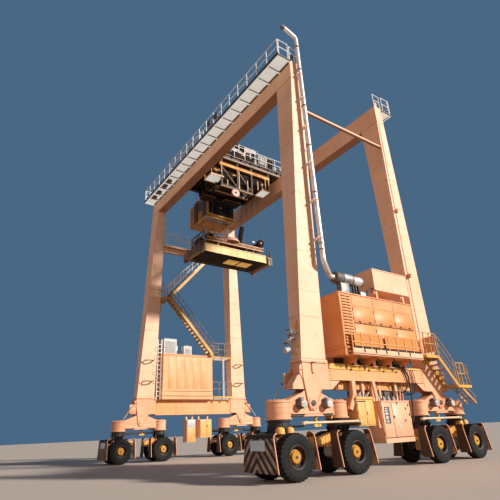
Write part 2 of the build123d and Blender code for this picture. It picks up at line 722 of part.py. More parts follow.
# Operator cabin: hangs from the trolley on the left side of the load
cabin_out = -7500
cabin_in = -4700
cabin_near = -950
cabin_far = 1550
cabin_floor = 17350
cabin_roof = 19200
with BuildPart() as operator_cabin:
    block(cabin_out, cabin_in, cabin_near, cabin_far, cabin_floor, cabin_roof)
    block(-5720, -4330, -880, 1480, cabin_roof, cabin_roof + 120)
    for hanger_x in (-5650, -4400):
        for hanger_y in (-800, 1400):
            block(hanger_x - 60, hanger_x + 60, hanger_y - 60, hanger_y + 60, cabin_roof, 19880)
operator_cabin.part.label = "operator_cabin"
export_step(operator_cabin.part, "parts/operator_cabin.step")

# Headblock: a frame with four rope sheaves, locked onto the spreader
spread_x = trolley_x
spread_half = 1100
spread_bottom = 13050
spread_top = 13650
head_bottom = 13950
head_top = 14170
sheave_z = 14350
sheave_radius = 260
with BuildPart() as headblock:
    for side_x in (-1, 1):
        block(
            spread_x + side_x * (spread_half - 200), spread_x + side_x * spread_half,
            -2350, 2350, head_bottom, head_top,
        )
    for beam_y in (-2050, 0, 2050):
        block(
            spread_x - spread_half, spread_x + spread_half, beam_y - 110, beam_y + 110,
            head_bottom, head_top,
        )
    for side_x in (-1, 1):
        for side_y in (-1, 1):
            tube(
                (spread_x + side_x * rope_x - 90, side_y * rope_y, sheave_z),
                (spread_x + side_x * rope_x + 90, side_y * rope_y, sheave_z), sheave_radius,
            )
            block(
                spread_x + side_x * 1000 - 60, spread_x + side_x * 1000 + 60,
                side_y * 1500 - 60, side_y * 1500 + 60, spread_top, head_bottom,
            )
    with BuildSketch(Plane.XY.offset(head_top)):
        with Locations((spread_x + 300, -1150)):
            Circle(620)
    with BuildSketch(Plane.XY.offset(head_top + 420)):
        with Locations((spread_x + 300, -1150)):
            Circle(380)
    loft()
headblock.part.label = "headblock"
export_step(headblock.part, "parts/headblock.step")

# Hoist ropes: two falls at each sheave, straight up to the trolley
rope_radius = 14
rope_top = 19880
with BuildPart() as hoist_ropes:
    for side_x in (-1, 1):
        for side_y in (-1, 1):
            for fall in (-1, 1):
                fall_y = side_y * rope_y + fall * (sheave_radius + rope_radius)
                tube(
                    (spread_x + side_x * rope_x, fall_y, sheave_z),
                    (spread_x + side_x * rope_x, fall_y, rope_top), rope_radius,
                )
hoist_ropes.part.label = "hoist_ropes"
export_step(hoist_ropes.part, "parts/hoist_ropes.step")

# Spreader: a main frame of two deep side beams that holds the telescopic arms
arm_x = 480
arm_width = 240
arm_height = 320
lock_x = 1129.5
lock_y = 2926.5
end_beam_inner = 2720
end_beam_outer = 3030
guide_wall = 40
with BuildPart() as spreader_frame:
    for side_x in (-1, 1):
        block(
            spread_x + side_x * (spread_half - 160), spread_x + side_x * spread_half,
            -2600, 2600, spread_bottom, spread_top,
        )
    for beam_y in (-2450, -1000, 1000, 2450):
        block(
            spread_x - spread_half, spread_x + spread_half, beam_y - 90, beam_y + 90,
            spread_bottom + 60, spread_bottom + 130,
        )
        block(
            spread_x - spread_half, spread_x + spread_half, beam_y - 90, beam_y + 90,
            spread_top - 110, spread_top,
        )
spreader_frame.part.label = "spreader_frame"
export_step(spreader_frame.part, "parts/spreader_frame.step")

arm_bottom = spread_bottom + 130 + seat_gap
for name, side_y, arm_shift in (("near_arm", -1, -1), ("far_arm", 1, 1)):
    with BuildPart() as arm:
        for side_x in (-1, 1):
            beam_x = spread_x + side_x * arm_x + arm_shift * (arm_width / 2 + 10)
            block(
                beam_x - arm_width / 2, beam_x + arm_width / 2,
                side_y * -2300, side_y * end_beam_inner,
                arm_bottom, arm_bottom + arm_height,
            )
        block(
            spread_x - spread_half - 130, spread_x + spread_half + 130,
            side_y * end_beam_inner, side_y * end_beam_outer, 12990, 13500,
        )
        for side_x in (-1, 1):
            block(
                spread_x + side_x * lock_x - 90, spread_x + side_x * lock_x + 90,
                side_y * end_beam_inner, side_y * end_beam_outer, 12900, 12990,
            )
            tube(
                (spread_x + side_x * lock_x, side_y * lock_y, 12900),
                (spread_x + side_x * lock_x, side_y * lock_y, 12780), 45,
            )
    arm.part.label = name
    export_step(arm.part, f"parts/{name}.step")
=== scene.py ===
import math

import bpy
import numpy as np
from mathutils import Matrix


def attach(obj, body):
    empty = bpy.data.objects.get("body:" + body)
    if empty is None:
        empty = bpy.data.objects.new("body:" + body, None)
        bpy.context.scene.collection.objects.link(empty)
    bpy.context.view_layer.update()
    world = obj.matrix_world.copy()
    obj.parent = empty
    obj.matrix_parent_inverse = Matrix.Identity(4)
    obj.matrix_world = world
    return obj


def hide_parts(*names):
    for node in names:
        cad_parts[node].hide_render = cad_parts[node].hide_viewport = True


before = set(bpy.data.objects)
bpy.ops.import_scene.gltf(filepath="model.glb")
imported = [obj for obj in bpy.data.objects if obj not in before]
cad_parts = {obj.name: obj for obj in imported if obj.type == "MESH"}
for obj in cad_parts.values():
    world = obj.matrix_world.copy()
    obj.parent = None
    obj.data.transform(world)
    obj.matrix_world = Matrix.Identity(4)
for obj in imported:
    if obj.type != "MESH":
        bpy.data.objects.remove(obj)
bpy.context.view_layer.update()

# ---- Floor, light and camera
# The crane stands on a plain sandy floor under a high soft lamp on the generator side, with a warm
# fill and a pale blue sky all round, and the camera looks up at its near right corner.
floor_mesh = bpy.data.meshes.new("floor")
floor_mesh.from_pydata([(-300, -300, 0), (300, -300, 0), (300, 300, 0), (-300, 300, 0)], [], [(0, 1, 2, 3)])
floor = bpy.data.objects.new("floor", floor_mesh)
bpy.context.collection.objects.link(floor)
floor_finish = bpy.data.materials.new("floor_finish")
floor_finish.use_nodes = True
floor_finish.node_tree.nodes["Principled BSDF"].inputs["Base Color"].default_value = (0.5, 0.41, 0.33, 1)
floor_finish.node_tree.nodes["Principled BSDF"].inputs["Roughness"].default_value = 0.9
floor_mesh.materials.append(floor_finish)

lamps = (("high_soft_lamp", 5.2, 6, (1.0, 0.95, 0.89), (0.72, 0.45, 0.4)),
    ("warm_fill_lamp", 0.75, 70, (1.0, 0.5, 0.24), (0.3, -0.93, 0.2)))
for lamp_name, strength, spread, lamp_colour, lamp_way in lamps:
    lamp_data = bpy.data.lights.new(lamp_name, "SUN")
    lamp_data.energy = strength
    lamp_data.angle = math.radians(spread)
    lamp_data.color = lamp_colour
    lamp = bpy.data.objects.new(lamp_name, lamp_data)
    lamp_turn = math.atan2(lamp_way[1], lamp_way[0]) + math.pi / 2
    lamp.rotation_euler = (math.acos(lamp_way[2] / np.linalg.norm(lamp_way)), 0, lamp_turn)
    bpy.context.collection.objects.link(lamp)

sky = bpy.data.worlds.new("pale_sky")
sky.use_nodes = True
sky.node_tree.nodes["Background"].inputs["Color"].default_value = (0.26, 0.53, 0.88, 1)
sky.node_tree.nodes["Background"].inputs["Strength"].default_value = 0.26
bpy.context.scene.world = sky
bpy.context.scene.view_settings.view_transform = "Standard"

camera_data = bpy.data.cameras.new("camera")
camera_data.sensor_width = 36
focal_pixels, picture_pixels = 428.624, 500
camera_data.lens = camera_data.sensor_width * focal_pixels / picture_pixels
camera_data.clip_end = 500
camera = bpy.data.objects.new("camera", camera_data)
bpy.context.collection.objects.link(camera)
yaw, pitch, roll = 0.951567, 0.399244, -0.046133
ahead = np.array([-math.sin(yaw) * math.cos(pitch), math.cos(yaw) * math.cos(pitch), math.sin(pitch)])
level_right = np.array([math.cos(yaw), math.sin(yaw), 0])
level_up = np.cross(level_right, ahead)
camera_right = math.cos(roll) * level_right + math.sin(roll) * level_up
camera_up = math.cos(roll) * level_up - math.sin(roll) * level_right
turn = np.eye(4)
turn[:3, 0] = camera_right
turn[:3, 1] = camera_up
turn[:3, 2] = -ahead
turn[:3, 3] = (21.57409, -15.67837, 1.61226)
camera.matrix_world = Matrix(turn.tolist())
bpy.context.scene.camera = camera


# ---- Painted plate of the legs, girders, sills and feet
# Welded steel plate under a thick cream-orange marine paint, chalked by the sun and streaked with
# brown dust and rust that rain carries down from the seams.
class Reading:
    """A number that varies over a surface; sums, products and comparisons of readings add Math nodes."""

    def __init__(self, finish, socket):
        self.finish = finish
        self.socket = socket

    def maths(self, operation, other, swap=False):
        first, second = (other, self) if swap else (self, other)
        return self.finish.node("ShaderNodeMath", {"operation": operation}, {0: first, 1: second})

    def __add__(self, other):
        return self.maths("ADD", other)

    def __sub__(self, other):
        return self.maths("SUBTRACT", other)

    def __rsub__(self, other):
        return self.maths("SUBTRACT", other, swap=True)

    def __mul__(self, other):
        return self.maths("MULTIPLY", other)

    def __lt__(self, other):
        return self.maths("LESS_THAN", other)

    def __gt__(self, other):
        return self.maths("GREATER_THAN", other)

    __radd__ = __add__
    __rmul__ = __mul__


class Finish:
    """A material under way: its nodes are added by one method and its shader is fed at the end."""

    def __init__(self, name):
        self.material = bpy.data.materials.new(name)
        self.material.use_nodes = True
        self.tree = self.material.node_tree
        self.shader = self.tree.nodes["Principled BSDF"]
        self.place = self.node("ShaderNodeTexCoord", output="Object")

    def node(self, kind, settings=None, inputs=None, output=0):
        new = self.tree.nodes.new(kind)
        for key, value in (settings or {}).items():
            if key == "stops":
                while len(new.color_ramp.elements) < len(value):
                    new.color_ramp.elements.new(0.5)
                for element, (position, colour) in zip(new.color_ramp.elements, value):
                    element.position = position
                    element.color = (*colour, 1)
            else:
                setattr(new, key, value)
        for key, value in (inputs or {}).items():
            if isinstance(value, Reading):
                self.tree.links.new(value.socket, new.inputs[key])
            else:
                new.inputs[key].default_value = value
        return Reading(self, new.outputs[output])

    def stretched(self, x, y, z):
        return self.node("ShaderNodeMapping", inputs={"Vector": self.place, "Scale": (x, y, z)})

    def noise(self, scale, detail=3, place=None, roughness=0.55):
        return self.node("ShaderNodeTexNoise", inputs={"Vector": place or self.place, "Scale": scale,
            "Detail": detail, "Roughness": roughness})

    def ramp(self, reading, low, high):
        """The reading moved so that low gives 0 and high gives 1, cut off beyond both and eased."""
        return self.node("ShaderNodeMapRange", {"interpolation_type": "SMOOTHSTEP"},
            {"Value": reading, "From Min": low, "From Max": high})

    def along(self, axis, place=None):
        return self.node("ShaderNodeSeparateXYZ", inputs={0: place or self.place}, output=axis)

    def facing_down(self):
        """From 0 on upright faces to 1 on faces that look at the ground."""
        return self.ramp(0 - self.along("Z", self.node("ShaderNodeTexCoord", output="Normal")), 0.35, 0.9)

    def mix(self, share, first, second):
        """Two colours or two colour readings mixed by a share from 0 to 1."""
        first = first if isinstance(first, Reading) else (*first, 1)
        second = second if isinstance(second, Reading) else (*second, 1)
        return self.node("ShaderNodeMix", {"data_type": "RGBA"}, {0: share, 6: first, 7: second}, output=2)

    def feed(self, colour=None, roughness=None, metallic=None, height=None, depth=0.01, **plain):
        for key, value in (("Base Color", colour), ("Roughness", roughness), ("Metallic", metallic)):
            if isinstance(value, Reading):
                self.tree.links.new(value.socket, self.shader.inputs[key])
            elif value is not None:
                self.shader.inputs[key].default_value = (*value, 1) if key == "Base Color" else value
        if height is not None:
            bump = self.node("ShaderNodeBump", inputs={"Height": height, "Distance": depth, "Strength": 1.0})
            self.tree.links.new(bump.socket, self.shader.inputs["Normal"])
        for key, value in plain.items():
            self.shader.inputs[key.replace("_", " ")].default_value = value
        return self.material


def plate_paint(name, sunny, faded, grime=(0.20, 0.115, 0.06), soil=0.5, seam=None):
    """Paint on welded plate: two tones in cloudy patches, streaks drawn out downwards, specks of
    rust, seams every few metres that show as a low ridge with dirt beside it, and painted shade:
    faces that look at the ground are darkened to a deep brown."""
    rust, underside_shade = (0.2, 0.055, 0.015), (0.24, 0.075, 0.012)
    paint = Finish(name)
    clouds = paint.ramp(paint.noise(0.55, 4), 0.35, 0.68)
    runs = paint.noise(1.0, 5, paint.stretched(5.5, 5.5, 0.28), 0.62)
    dust = paint.noise(2.3, 5)
    specks = paint.noise(26, 2)
    base = paint.mix(clouds, sunny, faded)
    streaks = paint.ramp(runs, 0.55, 0.85) * (soil * 0.55)
    blotches = paint.ramp(dust, 0.58, 0.85) * (soil * 0.45)
    base = paint.mix(streaks, base, grime)
    base = paint.mix(blotches, base, grime)
    chips = paint.ramp(specks + dust * 0.35, 0.86, 0.9) * paint.ramp(runs, 0.45, 0.6)
    base = paint.mix(chips * (soil * 1.4), base, rust)
    height = paint.noise(1.6, 2) * 0.5 + paint.noise(90, 2) * 0.03 - chips * 0.05
    if seam:
        axis, pitch = seam
        wave = paint.along(axis).maths("PINGPONG", pitch / 2)
        ridge = 1 - paint.ramp(wave, 0.004, 0.016)
        beside = (1 - paint.ramp(wave, 0.01, 0.09)) * paint.ramp(dust, 0.35, 0.7)
        base = paint.mix(beside * (soil * 0.6), base, grime)
        height = height + ridge * 0.35
    # Painted shade: faces that look at the ground are mixed towards a deep brown.
    base = paint.mix(paint.facing_down() * 0.9, base, underside_shade)
    roughness = 0.42 + dust * 0.22 + streaks * 0.25
    return paint.feed(base, roughness, height=height, depth=0.012)


leg_paint = plate_paint("cream_orange_leg_paint", (0.88, 0.53, 0.33), (0.82, 0.47, 0.28), seam=("Z", 2.9))
girder_paint = plate_paint("cream_orange_girder_paint", (0.88, 0.53, 0.33), (0.8, 0.45, 0.26), seam=("X", 3.05))
foot_paint = plate_paint("cream_orange_foot_paint", (0.83, 0.42, 0.235), (0.74, 0.34, 0.165), soil=0.9)
sill_paint = plate_paint("warm_sill_paint", (0.83, 0.38, 0.16), (0.79, 0.31, 0.09), seam=("Y", 1.52), soil=0.7)


def patchy(
    name, first, second, scale, detail=5, low=0.4, high=0.7, roughness=0.45, dulled=0.3, metallic=None,
    depth=0.004, **plain
):
    """A finish of two tones in patches, rougher and higher where the second one shows."""
    finish = Finish(name)
    patch = finish.noise(scale, detail)
    tone = finish.mix(finish.ramp(patch, low, high), first, second)
    return finish.feed(tone, roughness + patch * dulled, metallic, height=patch, depth=depth, **plain)


def coat(finish, *names):
    """Gives CAD nodes a finish in place of their plain one."""
    for name in names:
        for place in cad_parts[name].material_slots:
            place.material = finish


CORNERS = {"near_right": (1, -1), "far_right": (1, 1), "near_left": (-1, -1), "far_left": (-1, 1)}
coat(leg_paint, *(f"{corner}_leg" for corner in CORNERS))
coat(girder_paint, "near_girder", "far_girder", "right_tie_tube", "cross_bridge")
coat(sill_paint, "left_sill_beam", "right_sill_beam")
coat(foot_paint, "leg_feet", *(f"{corner}_equaliser" for corner in CORNERS))

# ---- Bogie beams
# A rocking box beam under each foot with a drum at each end for the kingpins, two plate gables that
# stiffen it at the pivot, a hydraulic steering motor by each drum and bolted covers.
def joined(*shapes):
    """Several shapes as one. A shape is its points, its faces' corner numbers in a row, and each
    face's number of corners."""
    shifts = np.cumsum([0] + [len(shape[0]) for shape in shapes[:-1]])
    return (np.concatenate([shape[0] for shape in shapes]),
        np.concatenate([shape[1] + shift for shape, shift in zip(shapes, shifts)]),
        np.concatenate([shape[2] for shape in shapes]))


def repeated(shape, *places):
    """Copies of a shape, each moved by one of the places."""
    points, corners, counts = shape
    places = np.array(places, float).reshape(-1, 3)
    shifted = (places[:, None] + points[None]).reshape(-1, 3)
    numbers = (np.arange(len(places))[:, None] * len(points) + corners[None]).ravel()
    return (shifted, numbers, np.tile(counts, len(places)))


def outward(shape):
    """The shape with its faces turned outwards: six times its volume is the sum over the faces' fans
    of first . (second x third), and where that is negative every face is reversed."""
    points, corners, counts = shape
    starts = np.cumsum(counts) - counts
    volume = 0
    for step in range(1, counts.max() - 1):
        wide = counts > step + 1
        first, second, third = (points[corners[starts[wide] + at]] for at in (0, step, step + 1))
        volume += np.einsum("ij,ij->", first, np.cross(second, third))
    return shape if volume > 0 else (points, corners[::-1].copy(), counts[::-1].copy())


def mirrored(shape, x=1, y=1):
    """The shape scaled by 1 or -1 along x and y, its faces still outwards."""
    points, corners, counts = shape
    points = points * (x, y, 1)
    if x * y < 0:
        corners, counts = corners[::-1].copy(), counts[::-1].copy()
    return (points, corners, counts)


def moved(shape, x=0, y=0, z=0):
    return (shape[0] + (x, y, z), shape[1], shape[2])


def turned(shape, axis, degrees, centre=(0, 0, 0)):
    """The shape turned about an axis through a centre, by the right-hand rule."""
    angle = math.radians(degrees)
    first, second = [(1, 2), (2, 0), (0, 1)]["XYZ".index(axis)]
    spin = np.eye(3)
    spin[first, first] = spin[second, second] = math.cos(angle)
    spin[first, second] = -math.sin(angle)
    spin[second, first] = math.sin(angle)
    return ((shape[0] - centre) @ spin.T + centre, shape[1], shape[2])


def grid_faces(rows, columns, round_rows=False, round_columns=False):
    """The quads of a grid of points, which may close on itself either way."""
    i, j = np.meshgrid(np.arange(rows - (not round_rows)), np.arange(columns - (not round_columns)),
        indexing="ij")
    i_next, j_next = (i + 1) % rows, (j + 1) % columns
    quads = np.stack([i * columns + j, i * columns + j_next, i_next * columns + j_next, i_next * columns + j],
        -1)
    return (quads.reshape(-1), np.full(quads.size // 4, 4))


def lofted(rings):
    """A closed skin through rings of points, each (stations, points round, 3), with a flat cap on the
    first and the last ring."""
    stations, around = rings.shape[:2]
    corners, counts = grid_faces(stations, around, round_columns=True)
    last = (stations - 1) * around
    corners = np.concatenate([corners, np.arange(around)[::-1], last + np.arange(around)])
    return outward((rings.reshape(-1, 3), corners, np.append(counts, [around, around])))


def bar(start, end, width, height, up=(0, 0, 1), edge=0.12):
    """A straight bar: an eight-sided outline, a rectangle with its corners cut off by edge times its
    smaller side, carried from start to end, and drawn in by that much at both ends."""
    start, end = np.array(start, float), np.array(end, float)
    run = end - start
    length = np.linalg.norm(run)
    run /= length
    side = np.cross(np.array(up, float), run)
    if np.linalg.norm(side) < 1e-6:
        side = np.cross((1.0, 0, 0), run)
    side /= np.linalg.norm(side)
    top = np.cross(run, side)
    cut = edge * min(width, height)
    a, b = width / 2, height / 2
    outline = np.array([(-a + cut, -b), (a - cut, -b), (a, -b + cut), (a, b - cut), (a - cut, b), (-a + cut, b),
        (-a, b - cut), (-a, -b + cut)])
    drawn = np.array([1 - 2 * cut / width, 1, 1, 1 - 2 * cut / width])
    at = np.array([0, min(cut, length / 3), length - min(cut, length / 3), length])
    centres = start + at[:, None] * run
    rings = centres[:, None] + drawn[:, None, None] * (outline[None, :, :1] * side + outline[None, :, 1:] * top)
    return lofted(rings)


def block(x0, x1, y0, y1, z0, z1, edge=0.012):
    """A box between two opposite corners with its edges eased by edge metres."""
    width, height = abs(y1 - y0), abs(z1 - z0)
    middle_y, middle_z = (y0 + y1) / 2, (z0 + z1) / 2
    share = min(edge, width / 3, height / 3) / min(width, height)
    return bar((min(x0, x1), middle_y, middle_z), (max(x0, x1), middle_y, middle_z), width, height, edge=share)


def blocks(*rows):
    """A list of boxes, one for each row of two opposite corners and, where it is unusual, the edge."""
    return [block(*row) for row in rows]


def spun(profile, centre, axis, sides):
    """Rings of points: at each pair of the profile, evenly spaced places on its circle round the axis."""
    profile = np.array(profile, float)
    angle = np.arange(sides) * 2 * math.pi / sides
    rings = np.zeros((len(profile), sides, 3))
    main = "XYZ".index(axis)
    first, second = [(1, 2), (2, 0), (0, 1)][main]
    rings[..., main] = profile[:, :1]
    rings[..., first] = profile[:, 1:] * np.cos(angle)
    rings[..., second] = profile[:, 1:] * np.sin(angle)
    return rings + np.array(centre, float)


def lathe(profile, centre=(0, 0, 0), axis="Z", sides=24):
    """A profile of (along, radius) pairs turned about an axis through a centre, closed at both ends."""
    return lofted(spun(profile, centre, axis, sides))


def drum(start, end, inner, outer, centre=(0, 0, 0), axis="Z", sides=24):
    """A straight drum from start to end along its axis, its ends drawn in to the inner radius."""
    return lathe([(start, inner), (start, outer), (end, outer), (end, inner)], centre, axis, sides)


def plate(outline, thickness, plane="YZ", at=0.0, edge=0.004):
    """A flat plate: an outline in a plane carried along its normal by the thickness, drawn in a little
    towards its middle at both faces so that its edges catch the light."""
    outline = np.array(outline, float)
    middle = outline.mean(0)
    reach = np.abs(outline - middle).max()
    levels = np.array([0, edge, thickness - edge, thickness]) + at
    drawn = np.array([1 - edge / reach, 1, 1, 1 - edge / reach])
    flat = middle + drawn[:, None, None] * (outline - middle)[None]
    rings = np.zeros((4, len(outline), 3))
    axes = ["XYZ".index(letter) for letter in plane]
    rings[..., 3 - sum(axes)] = levels[:, None]
    rings[..., axes[0]] = flat[..., 0]
    rings[..., axes[1]] = flat[..., 1]
    return lofted(rings)


def bolts(places, radius=0.018, height=0.014, axis="Z"):
    """Bolt heads: a six-sided head on a round washer, once at each place."""
    head = joined(lathe([(0, radius * 1.5), (height * 0.3, radius * 1.5)], axis=axis, sides=12),
        lathe([(height * 0.3, radius), (height, radius), (height * 1.15, radius * 0.8)], axis=axis, sides=6))
    return repeated(head, *places)


def ring_of(count, radius, centre, axis="X"):
    """Places spaced evenly round a circle about an axis."""
    angle = np.arange(count) * 2 * math.pi / count
    places = np.tile(np.array(centre, float), (count, 1))
    first, second = [(1, 2), (2, 0), (0, 1)]["XYZ".index(axis)]
    places[:, first] += radius * np.cos(angle)
    places[:, second] += radius * np.sin(angle)
    return places


def make(name, body, *finished, slot=None, smooth=40, put=None):
    """One piece out of pairs of a shape, or a list of shapes, and its finish, riding on a body. Put
    moves each shape to its place."""
    shapes = [joined(*shape) if isinstance(shape, list) else shape for shape, finish in finished]
    if put:
        shapes = [put(shape) for shape in shapes]
    points, corners, counts = joined(*shapes)
    mesh = bpy.data.meshes.new(name)
    mesh.vertices.add(len(points))
    mesh.vertices.foreach_set("co", points.astype(np.float32).ravel())
    mesh.loops.add(len(corners))
    mesh.loops.foreach_set("vertex_index", corners.astype(np.int32))
    mesh.polygons.add(len(counts))
    mesh.polygons.foreach_set("loop_start", (np.cumsum(counts) - counts).astype(np.int32))
    finishes = []
    for shape, finish in finished:
        if finish not in finishes:
            finishes.append(finish)
            mesh.materials.append(finish)
    numbers = np.concatenate([np.full(len(shape[2]), finishes.index(finish))
        for shape, (listed, finish) in zip(shapes, finished)])
    mesh.polygons.foreach_set("material_index", numbers.astype(np.int32))
    mesh.update(calc_edges=True)
    mesh.validate()
    mesh.shade_smooth()
    mesh.set_sharp_from_angle(angle=math.radians(smooth))
    piece = bpy.data.objects.new(name, mesh)
    bpy.context.collection.objects.link(piece)
    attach(piece, body)
    return piece


grey_paint = plate_paint("grey_machine_paint", (0.4, 0.4, 0.38), (0.28, 0.28, 0.27), soil=0.6)
motor_grey = plate_paint("steering_motor_paint", (0.26, 0.25, 0.235), (0.17, 0.16, 0.15), soil=0.7)
pale_paint = plate_paint("pale_enamel", (0.56, 0.56, 0.55), (0.42, 0.41, 0.39), soil=0.8)
yellow_paint = plate_paint("yellow_machine_paint", (0.86, 0.5, 0.055), (0.74, 0.38, 0.04), soil=0.6)
dark_paint = plate_paint("dark_chassis_paint", (0.05, 0.045, 0.042), (0.085, 0.07, 0.06),
    grime=(0.16, 0.11, 0.07), soil=0.5)
hose_rubber = Finish("black_hose")
hose_rubber = hose_rubber.feed((0.03, 0.03, 0.032), 0.55, height=hose_rubber.noise(60, 2), depth=0.002)

bogie_x = 8.59
pivot_y = 4.07
unit_places = {"inner": 2.62, "outer": 5.52}
drum_radius, motor_z = 0.44, 2.44
drum_top = 2.55


def at_corner(shape, side_x, side_y):
    """A shape drawn for the far right corner, put at any corner: x and y change sign."""
    return mirrored(moved(shape, bogie_x), side_x, side_y)


gable = [(-0.95, 2.48), (-0.36, 2.93), (0.36, 2.93), (0.95, 2.48), (0.95, 2.4), (-0.95, 2.4)]
for corner, (side_x, side_y) in CORNERS.items():
    beam, motors, pale, shadow, yellow = [], [], [], [], []
    beam += [drum(level, level + proud, drum_radius - 0.05, drum_radius + reach, (0, unit_y, 0), sides=48)
        for level, reach, proud in ((1.932, 0.045, 0.05), (2.14, 0.008, 0.012), (2.33, 0.008, 0.012),
        (2.5, 0.03, 0.035)) for unit_y in unit_places.values()]
    for unit_y in unit_places.values():
        cover = lathe([(drum_top, 0.36), (drum_top + 0.035, 0.36), (drum_top + 0.05, 0.33),
            (drum_top + 0.05, 0.02)], (0, unit_y, 0), sides=32)
        beam += [cover, bolts(ring_of(12, 0.31, (0, unit_y, drum_top + 0.05), "Z"), 0.02, 0.02),
            bolts(ring_of(24, 0.405, (0, unit_y, drum_top), "Z"), 0.018, 0.02)]
    beam += [plate([(pivot_y + y, z) for y, z in gable], 0.03, at=face - 0.015) for face in (-0.262, 0.262)]
    beam += [block(-0.255, 0.255, pivot_y + rib_y - 0.012, pivot_y + rib_y + 0.012, 2.02, 2.06)
        for rib_y in (-0.7, -0.25, 0.25, 0.7)]
    beam.append(block(-0.34, 0.34, 3.02, 5.12, 2.105, 2.14))
    shadow.append(block(-0.27, 0.27, 3.04, 5.1, 2.035, 2.105))
    yellow += [bar((0.16, y0, z0), (0.16, y1, z1), 0.1, 0.05, up=(0, 1, 0))
        for (y0, z0), (y1, z1) in (((3.7, 2.12), (3.93, 1.89)), ((2.98, 2.1), (3.12, 1.91)),
        ((3.93, 1.91), (3.72, 1.7)), ((3.98, 1.7), (3.64, 1.7)))]
    stiffener = [(pivot_y - 0.52, 2.02), (pivot_y + 0.52, 2.02), (pivot_y + 0.4, 2.1), (pivot_y - 0.4, 2.1)]
    beam += [plate(stiffener, 0.05, at=face) for face in (0.26, -0.31)]
    for motor_y in (-0.64, 0.64):
        y = pivot_y + motor_y
        motors.append(lathe([(0.26, 0.18), (0.29, 0.18), (0.29, 0.155), (0.52, 0.155), (0.545, 0.16),
            (0.545, 0.02)], (0, y, motor_z), "X", 28))
        motors += [drum(fin, fin + 0.008, 0.15, 0.165, (0, y, motor_z), "X", 28)
            for fin in np.arange(0.33, 0.5, 0.03)]
        motors += [block(0.33, 0.47, y - 0.09, y + 0.09, 2.6, 2.68),
            bolts(ring_of(6, 0.13, (0.568, y, motor_z)), 0.012, 0.012, "X")]
        pale.append(lathe([(0.54, 0.13), (0.563, 0.13), (0.568, 0.12), (0.568, 0.05), (0.58, 0.045),
            (0.58, 0.005)], (0, y, motor_z), "X", 28))
    make(f"{corner}_bogie_fittings", f"{corner}_bogie", (beam, foot_paint), (motors, motor_grey),
        (pale, pale_paint), (shadow, dark_paint), (yellow, yellow_paint), slot="frame_paint",
        put=lambda shape: at_corner(shape, side_x, side_y))

# ---- Wheels
# Twin earthmover tyres with deep side lugs on steel rims, each pair on a driven hub: the rim well is
# painted near black with brown patches, and the planetary hub cap is painted yellow and ringed with studs.
tyre_rubber = Finish("worn_tyre_rubber")
dust = tyre_rubber.noise(7, 5)
mottle = tyre_rubber.noise(55, 3)
rubber_tone = tyre_rubber.mix(tyre_rubber.ramp(dust, 0.42, 0.75), (0.006, 0.0065, 0.006), (0.019, 0.018, 0.015))
rubber_tone = tyre_rubber.mix(tyre_rubber.ramp(mottle, 0.6, 0.85) * 0.3, rubber_tone, (0.055, 0.05, 0.042))
tyre_rubber = tyre_rubber.feed(rubber_tone, 0.62 + dust * 0.3,
    height=mottle * 0.4 + tyre_rubber.noise(160, 2) * 0.3, depth=0.004, Specular_IOR_Level=0.28)

rim_dark = patchy("rim_well_paint", (0.022, 0.018, 0.015), (0.12, 0.065, 0.035), 12, 4, 0.45, 0.72, 0.6,
    depth=0.003)
rim_edge = plate_paint("rim_flange_paint", (0.055, 0.04, 0.036), (0.035, 0.026, 0.024), soil=0.9)
hub_yellow = plate_paint("hub_yellow", (0.62, 0.3, 0.01), (0.5, 0.21, 0.008), grime=(0.1, 0.06, 0.03), soil=0.7)

tyre_radius, lug_count = 0.75, 30


def hollow(profile, centre=(0, 0, 0), axis="X", sides=32):
    """A ring whose section is the closed profile of (along, radius) pairs, turned about an axis."""
    corners, counts = grid_faces(len(profile), sides, round_rows=True, round_columns=True)
    return outward((spun(profile, centre, axis, sides).reshape(-1, 3), corners, counts))


def collar(start, end, inner, outer, centre=(0, 0, 0), axis="X", sides=32):
    """A ring of square section from start to end along its axis, between two radii."""
    return hollow([(start, inner), (start, outer), (end, outer), (end, inner)], centre, axis, sides)


def tyre():
    """A closed ring: half way across, a section of (across, radius) points; round it, the radius of
    every tread and shoulder point falls by a groove that is on for three of every eight steps, shifted
    half a lug from one shoulder to the other, so the lugs stagger."""
    section = np.array([(-0.15, 0.352), (-0.176, 0.372), (-0.188, 0.405), (-0.206, 0.47), (-0.215, 0.545),
        (-0.213, 0.61), (-0.207, 0.655), (-0.205, 0.672), (-0.2, 0.706), (-0.186, 0.735), (-0.15, 0.744),
        (-0.085, 0.748), (-0.04, 0.749)])
    section = np.concatenate([section, (section * (-1, 1))[::-1]])
    depth = np.interp(section[:, 1], [0.6, 0.66, 0.7, 0.75], [0, 0.01, 0.036, 0.034])
    depth *= np.interp(np.abs(section[:, 0]), [0.03, 0.06, 0.3], [0.25, 1, 1])
    steps = lug_count * 8
    step = np.arange(steps)
    shift = np.where(section[:, 0] < 0, 0, 4)[:, None]
    groove = np.array([0, 0, 0, 0.15, 0.9, 1, 0.9, 0.15])[(step[None] + shift) % 8]
    radius = section[:, 1:] - depth[:, None] * groove
    angle = step * 2 * math.pi / steps
    rings = np.stack([np.repeat(section[:, :1], steps, 1), radius * np.cos(angle), radius * np.sin(angle)], -1)
    inner = rings[[0]] * (1, 0, 0) + (rings[[0]] - rings[[0]] * (1, 0, 0)) * 0.93
    outer = rings[[-1]] * (1, 0, 0) + (rings[[-1]] - rings[[-1]] * (1, 0, 0)) * 0.93
    grid = np.concatenate([inner, rings, outer])
    corners, counts = grid_faces(len(grid), steps, round_rows=True, round_columns=True)
    return outward((grid.reshape(-1, 3), corners, counts))


